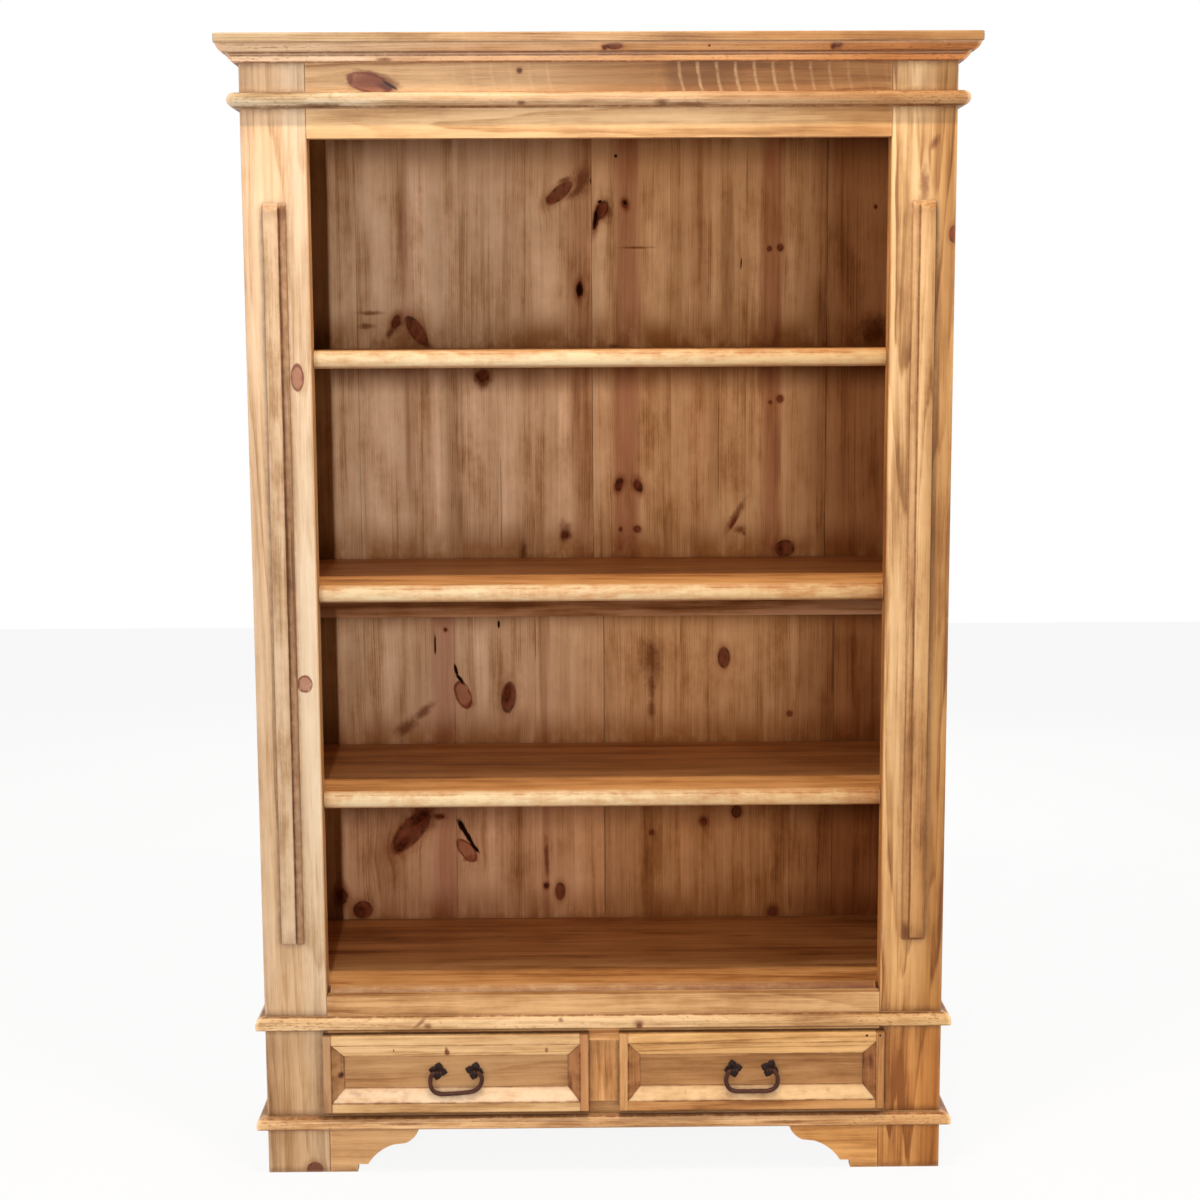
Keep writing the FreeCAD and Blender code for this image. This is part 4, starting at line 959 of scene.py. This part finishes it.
# widths of a frame's sides and of its top and foot, and the share of them where the flat starts
SIDE_WIDTH, RAIL_WIDTH, FLAT = 0.0345, 0.039, 0.58


def frame_finish(side):
    """What turns the grain of a drawer's frame, and what marks its four lengths."""
    low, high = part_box(f"{side}_drawer_frame")
    centre, half = (low + high) / 2, (high - low) / 2

    def shares(axes):
        """0 at the panel and 1 at the rim, of the side lengths and of the others."""
        return ((abs(axes["x"] - centre.x) - (half.x - SIDE_WIDTH)) / SIDE_WIDTH,
                (abs(axes["z"] - centre.z) - (half.z - RAIL_WIDTH)) / RAIL_WIDTH)

    def upright(axes):
        """1 on the side lengths: mitred at the bevel, full height at the flat rim."""
        sideways, upwards = shares(axes)
        flat = sideways.most(upwards).above(FLAT)
        return flat * sideways.above(FLAT) + (1 - flat) * (sideways - upwards).above(0.0)

    def lengths(finish, axes, wood, rough, mottle):
        """The tone of each length's flat and bevel, and dark wax in their seams, with painted
        shade along the panel and round the rim except at the top.
        """
        sideways, upwards = shares(axes)
        rim = sideways.most(upwards)
        flat, sides = rim.above(FLAT), upright(axes)
        bevel = 1 - flat
        right, upper = axes["x"].above(centre.x), axes["z"].above(centre.z)
        places = {"top": (1 - sides) * upper, "low": (1 - sides) * (1 - upper),
                  "left": sides * (1 - right), "right": sides * right}
        flame = finish.noise(finish.joined(*axes.values()), (22.0, 40.0, 60.0),
                             (centre.x * 9, 0.0, 0.0), detail=4.0, roughness=0.6)
        ragged = (flame * 2.6 + rough * 0.8 - 1.45).clamped()
        for place, (flat_tone, bevel_tone) in FRAME_TONES[side].items():
            wood = finish.stain(wood, flat_tone, places[place] * flat)
            wood = finish.stain(wood, bevel_tone, places[place] * bevel)
        # painted highlight on the lower bevel, where it faces up to the light, broken where the
        # wood is ragged
        pale = places["low"] * bevel * (upwards + (flame - 0.5) * 0.9).between(-0.12, 0.16)
        wood = finish.blend(wood, LIT_BEVEL[side], pale * (0.95 - ragged * 0.75))
        wood = finish.stain(wood, (0.5, 0.36, 0.25), sides * bevel * ragged * 0.9)
        corner = (sideways - upwards).near(0.0, 0.0, 0.06) * bevel * sideways.above(0.0)
        seam = (1 - rim.between(0.0, 0.07)) + rim.near(FLAT, 0.0, 0.06) \
            + sideways.near(FLAT, 0.0, 0.05) * flat * 0.7
        edge = rim.between(0.93, 1.0) * (1 - upper * (1 - sides)) * 0.6
        return finish.stain(wood, (0.4, 0.27, 0.18),
                            ((seam + corner + edge) * (0.35 + ragged * 1.2)).least(0.9))

    return {"turned": upright, "extra": lengths}


class BOOKCASE_OT_drawer_fronts(bpy.types.Operator):
    """Finish the drawer fronts and the mitred frames on them"""
    bl_idname = "bookcase.drawer_fronts"
    bl_label = "Drawer fronts"

    def execute(self, context):
        colour = context.scene.bookcase_pine.drawer
        for seed, side, warm in ((81, "left", colour),
                                 (82, "right", shade(colour, 0.96, 0.9, 0.82))):
            board(f"{side}_drawer_front", "xzy", shade(warm, 0.76, 0.72, 0.64), seed,
                  pith=(0.14, 0.02), rings=0.45, glaze=0.5)
            board(f"{side}_drawer_frame", "xzy", shade(warm, 1.08, 1.16, 1.18), seed + 4,
                  pith=(0.1, 0.03), lean=0.01, glaze=0.7, bands=0.6, brush=0.8, clouds=1.2,
                  patch=42.0, knots=FRAME_MARKS[side], **frame_finish(side))
        return {"FINISHED"}


class BOOKCASE_OT_inside(bpy.types.Operator):
    """Finish the drawer boxes, the runners and the hidden rails"""
    bl_idname = "bookcase.inside"
    bl_label = "Drawer boxes and runners"

    def execute(self, context):
        colour = context.scene.bookcase_pine.inside
        lengthwise = pine("pine_inside_long", "xzy", colour, 90, pith=(0.1, 0.1), glaze=0.6)
        sideways = pine("pine_inside_deep", "yzx", colour, 92, pith=(0.1, 0.1), glaze=0.6)
        floor = pine("pine_inside_floor", "xyz", colour, 94, pith=(0.0, 0.3), glaze=0.6)
        dress(lengthwise, "back_end_rails", "drawer_kicker", "left_drawer_back",
              "right_drawer_back")
        dress(sideways, "left_runner", "centre_runner", "right_runner",
              "left_drawer_left_side", "left_drawer_right_side", "right_drawer_left_side",
              "right_drawer_right_side")
        dress(floor, "left_drawer_bottom", "right_drawer_bottom")
        return {"FINISHED"}


def hammered(name, depth, settings):
    """Forged iron with hammer marks, rusty patches and rubbed edges."""
    finish = Finish(bpy.data.materials.new(name))
    place = finish.place()
    rust = finish.noise(place, scale=60.0, detail=4.0, roughness=0.6)
    dents = finish.noise(place, scale=210.0, detail=1.0)
    worn = (finish.recess(0.0025, inside=True) - 0.2).clamped(0.5)
    colour = finish.blend(shade(settings.iron, depth), shade(settings.rust, depth),
                          rust.between(0.45, 0.7))
    colour = finish.blend(colour, shade(settings.iron, 1.7 * depth), worn)
    return finish.surface(colour, rust * 0.3 + 0.4, dents, settings.hammering, Metallic=0.3,
                          Specular_IOR_Level=0.3)


# how far each pull's two plates are turned, in degrees, and how far from its middle they sit
PLATE_TURNS = {"left": (10, 13), "right": (-11, 21)}
PLATE_OFFSET = 0.03

# a plate's edge, as shares of its reach and metres out from the drawer's front
PLATE_EDGE = ((0.98, 0.0), (1.0, 0.0006), (1.0, 0.0012), (0.93, 0.0019), (0.78, 0.0023),
              (0.5, 0.0025), (0.2, 0.0025))

# the line of each bail below its pin, in millimetres from the pull's middle
BAIL_LINES = {
    "left": ((-24, 0), (-30, 0), (-34, -0.1), (-37.6, -1.2), (-40.6, -4.4), (-42.2, -9.5),
             (-42.4, -18), (-40.2, -26.5), (-34.5, -33), (-26, -35.6), (-12, -35.5),
             (8, -34.2), (23, -32.6), (32.8, -28.8), (39, -22), (41.9, -13.5), (41.4, -7),
             (38.6, -2.4), (35, -0.2), (30, 0), (24, 0)),
    "right": ((-24, 0), (-30, 0), (-33.8, -0.1), (-37, -1.6), (-40, -5.6), (-42, -12),
              (-42.3, -19.5), (-39.8, -27), (-34.6, -32.6), (-26.5, -35.3), (-14, -35.6),
              (0, -35.6), (14, -35.5), (26.5, -35), (34.8, -32.2), (40.2, -26.6), (42.3, -19),
              (41.8, -11.8), (39.6, -5.4), (36.6, -1.4), (33.6, -0.1), (30, 0), (24, 0)),
}
PIN_RADIUS, BAR_RADIUS, PIN_END = 0.0022, 0.0034, 0.0335


def pull_axis(side):
    """The middle of a pull's pin line, between its two studs."""
    joint = next(joint for joint in frame["joints"] if joint["name"] == f"{side}_bail_swing")
    return Vector(joint["pos_m"])


def plate(middle, turn):
    """One forged plate: a square of four petals, notched between them and bevelled."""
    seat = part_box("left_pull_plates")[1].y
    side, notch, swell = 11.1, 1.3, 0.7
    rings = []
    for share, out in PLATE_EDGE:
        ring = []
        for step in range(96):
            angle = step * math.tau / 96
            away = abs((math.degrees(angle) + 45) % 90 - 45)
            reach = side / math.cos(math.radians(45 - away)) \
                - notch * math.exp(-((45 - away) / 9) ** 2) \
                + swell * math.sin(away / 45 * math.pi)
            reach *= share * (1 + 0.02 * math.sin(3 * angle + turn))
            heading = angle + math.radians(turn)
            sunk = 0.0003 * (1 + math.sin(5 * angle + 9 * share + turn)) if out > 0.0015 else 0
            ring.append(Vector((middle.x + reach / 1000 * math.sin(heading), seat - (out - sunk),
                                middle.z + reach / 1000 * math.cos(heading))))
        rings.append(ring)
    return rings


def bail(axis, line):
    """The rings round a bail's bar, which is thinner where it passes through the studs."""
    points = [Vector((x / 1000, z / 1000)) for x, z in line]
    points = [2 * points[0] - points[1], *points, 2 * points[-1] - points[-2]]
    rings = []
    for index in range(1, len(points) - 2):
        before, first, second, after = points[index - 1:index + 3]
        square = 2 * before - 5 * first + 4 * second - after
        cube = 3 * first - before - 3 * second + after
        for step in range(6):
            t = step / 6
            place = 0.5 * (2 * first + (second - before) * t + square * t ** 2 + cube * t ** 3)
            along = 0.5 * ((second - before) + 2 * square * t + 3 * cube * t ** 2)
            along.normalize()
            stout = (abs(place.x) - PIN_END) / 0.003 + max(0.0, -place.y - 0.001) / 0.002
            radius = PIN_RADIUS + (BAR_RADIUS - PIN_RADIUS) * min(1.0, max(0.0, stout))
            radius *= 1 + 0.03 * math.sin(place.x * 410 + place.y * 530)
            ring = []
            for turn in range(16):
                angle = turn * math.tau / 16
                side = Vector((-along.y, along.x)) * math.cos(angle) * radius
                ring.append(Vector((axis.x + place.x + side.x, axis.y + math.sin(angle) * radius,
                                    axis.z + place.y + side.y)))
            rings.append(ring)
    return rings


class BOOKCASE_OT_pulls(bpy.types.Operator):
    """Finish the iron pulls and the nails"""
    bl_idname = "bookcase.pulls"
    bl_label = "Pulls and nails"

    def execute(self, context):
        settings = context.scene.bookcase_iron
        bails, plates = (hammered(name, depth, settings) for name, depth in
                         (("hammered_iron", 1.0), ("blackened_iron", 0.3)))
        dress(bails, "left_bail", "right_bail")
        dress(plates, *(f"{side}_pull_{part}" for side in ("left", "right")
                        for part in ("plates", "bolts")))
        for side in ("left", "right"):
            axis = pull_axis(side)
            plate_runs = [plate(axis + Vector((way * PLATE_OFFSET, 0, 0)), turn)
                          for way, turn in zip((-1, 1), PLATE_TURNS[side])]
            loft(f"{side}_forged_plates", plate_runs, plates, f"{side}_drawer", "iron",
                 f"{side}_pull_plates")
            loft(f"{side}_forged_bail", [bail(axis, BAIL_LINES[side])], bails, f"{side}_bail",
                 "iron", f"{side}_bail")
        finish = Finish(bpy.data.materials.new("nail_steel"))
        grey = finish.noise(finish.place(), scale=900.0, detail=2.0)
        colour = finish.blend(settings.nail, shade(settings.nail, 0.5), grey)
        dress(finish.surface(colour, grey * 0.3 + 0.4, grey, 0.0002, Metallic=0.8),
              "back_nails")
        return {"FINISHED"}


# each lamp's name, place, target, width, height, power or the setting that holds it, colour
LAMPS = (
    ("key", (-0.30, -3.36, 1.58), (0, 0, 1.0), 0.07, 0.4, "key", (1, 0.97, 0.93)),
    ("overhead", (0.0, -0.81, 2.98), (0, -0.1, 0.6), 0.4, 0.10, "overhead", (1, 0.84, 0.62)),
    ("left_fill", (-3.2, -0.6, 1.9), (0, 0, 0.9), 1.2, 1.2, 26, (1, 0.98, 0.95)),
    ("right_fill", (3.2, -0.6, 1.9), (0, 0, 0.9), 1.2, 1.2, 26, (1, 0.93, 0.82)),
    ("back_fill", (0.4, 3.4, 1.9), (0, 0, 0.9), 1.4, 1.4, 45, (1, 0.97, 0.94)),
)

# where the camera stands, and its pitch down, its turn to the right and its roll in degrees
CAMERA_PLACE, CAMERA_ANGLES = (-0.03701, -3.35972, 1.37814), (7.65, 0.62, -0.28)
FLOOR_HALF = 6
WHITE = (1, 1, 1, 1)


class BOOKCASE_OT_stage(bpy.types.Operator):
    """Lay the floor, set the lamps and place the camera"""
    bl_idname = "bookcase.stage"
    bl_label = "Floor, lamps and camera"

    def execute(self, context):
        settings = context.scene.bookcase_studio
        scene = context.scene
        scene.view_settings.view_transform = "Standard"
        finish = Finish(bpy.data.materials.new("pale_floor"))
        grain = finish.noise(finish.place(), scale=3.0, detail=3.0)
        plain = finish.blend(settings.floor, shade(settings.floor, 0.96), grain)
        lit = finish.add("ShaderNodeBsdfPrincipled",
                         sockets={"Base Color": plain, "Roughness": 0.9})
        white = finish.add("ShaderNodeEmission", sockets={"Color": WHITE, "Strength": 1.0})
        cover = finish.ended(finish.add("ShaderNodeMixShader", sockets={
            0: finish.seen() * 0.9, 1: lit, 2: white}))
        mesh = bpy.data.meshes.new("floor")
        corners = [(x * FLOOR_HALF, y * FLOOR_HALF, 0)
                   for x, y in ((-1, -1), (1, -1), (1, 1), (-1, 1))]
        mesh.from_pydata(corners, [], [(0, 1, 2, 3)])
        mesh.materials.append(cover)
        floor = bpy.data.objects.new("floor", mesh)
        scene.collection.objects.link(floor)

        studio = Finish(bpy.data.worlds.new("studio"))
        glow = studio.seen() * (1 - settings.ambient) + settings.ambient
        scene.world = studio.ended(studio.add("ShaderNodeBackground", sockets={
            "Color": WHITE, "Strength": glow}))

        for name, place, target, width, height, power, colour in LAMPS:
            data = bpy.data.lights.new(name, "AREA")
            data.shape = "RECTANGLE"
            data.size, data.size_y = width, height
            data.energy = getattr(settings, power) if isinstance(power, str) else power
            data.color = colour
            item = bpy.data.objects.new(name, data)
            item.location = place
            item.rotation_euler = (Vector(target) - Vector(place)).to_track_quat(
                "-Z", "Y").to_euler()
            scene.collection.objects.link(item)

        pitch, yaw, roll = (math.radians(angle) for angle in CAMERA_ANGLES)
        ahead = Vector((math.sin(yaw) * math.cos(pitch), math.cos(yaw) * math.cos(pitch),
                        -math.sin(pitch)))
        level = Vector((math.cos(yaw), -math.sin(yaw), 0))
        upward = level.cross(ahead)
        right = level * math.cos(roll) + upward * math.sin(roll)
        up = upward * math.cos(roll) - level * math.sin(roll)
        data = bpy.data.cameras.new("camera")
        data.sensor_width = 36
        data.lens = settings.lens
        camera = bpy.data.objects.new("camera", data)
        turn = Matrix((right, up, -ahead)).transposed().to_4x4()
        camera.matrix_world = Matrix.Translation(CAMERA_PLACE) @ turn
        scene.collection.objects.link(camera)
        scene.camera = camera
        return {"FINISHED"}


OPERATORS = (
    BOOKCASE_OT_posts, BOOKCASE_OT_rails, BOOKCASE_OT_sides, BOOKCASE_OT_mouldings,
    BOOKCASE_OT_shelves, BOOKCASE_OT_back, BOOKCASE_OT_drawer_fronts, BOOKCASE_OT_inside,
    BOOKCASE_OT_pulls, BOOKCASE_OT_stage,
)


class BOOKCASE_PT_panel(bpy.types.Panel):
    """The bookcase's settings and its operators"""
    bl_idname = "BOOKCASE_PT_panel"
    bl_label = "Bookcase"
    bl_space_type = "VIEW_3D"
    bl_region_type = "UI"
    bl_category = "Bookcase"

    def draw(self, context):
        for name in SETTINGS:
            box = self.layout.box()
            group = getattr(context.scene, name)
            for key in group.__annotations__:
                box.prop(group, key)
        for operator in OPERATORS:
            self.layout.operator(operator.bl_idname)


SETTINGS = {"bookcase_pine": PineSettings, "bookcase_iron": IronSettings,
            "bookcase_studio": StudioSettings}


def register():
    for group in SETTINGS.values():
        bpy.utils.register_class(group)
    for operator in OPERATORS:
        bpy.utils.register_class(operator)
    bpy.utils.register_class(BOOKCASE_PT_panel)
    for name, group in SETTINGS.items():
        setattr(bpy.types.Scene, name, bpy.props.PointerProperty(type=group))


def unregister():
    for name in SETTINGS:
        delattr(bpy.types.Scene, name)
    bpy.utils.unregister_class(BOOKCASE_PT_panel)
    for operator in reversed(OPERATORS):
        bpy.utils.unregister_class(operator)
    for group in SETTINGS.values():
        bpy.utils.unregister_class(group)


def main():
    register()
    for operator in OPERATORS:
        section, step = operator.bl_idname.split(".")
        getattr(getattr(bpy.ops, section), step)()


if __name__ == "__main__":
    main()
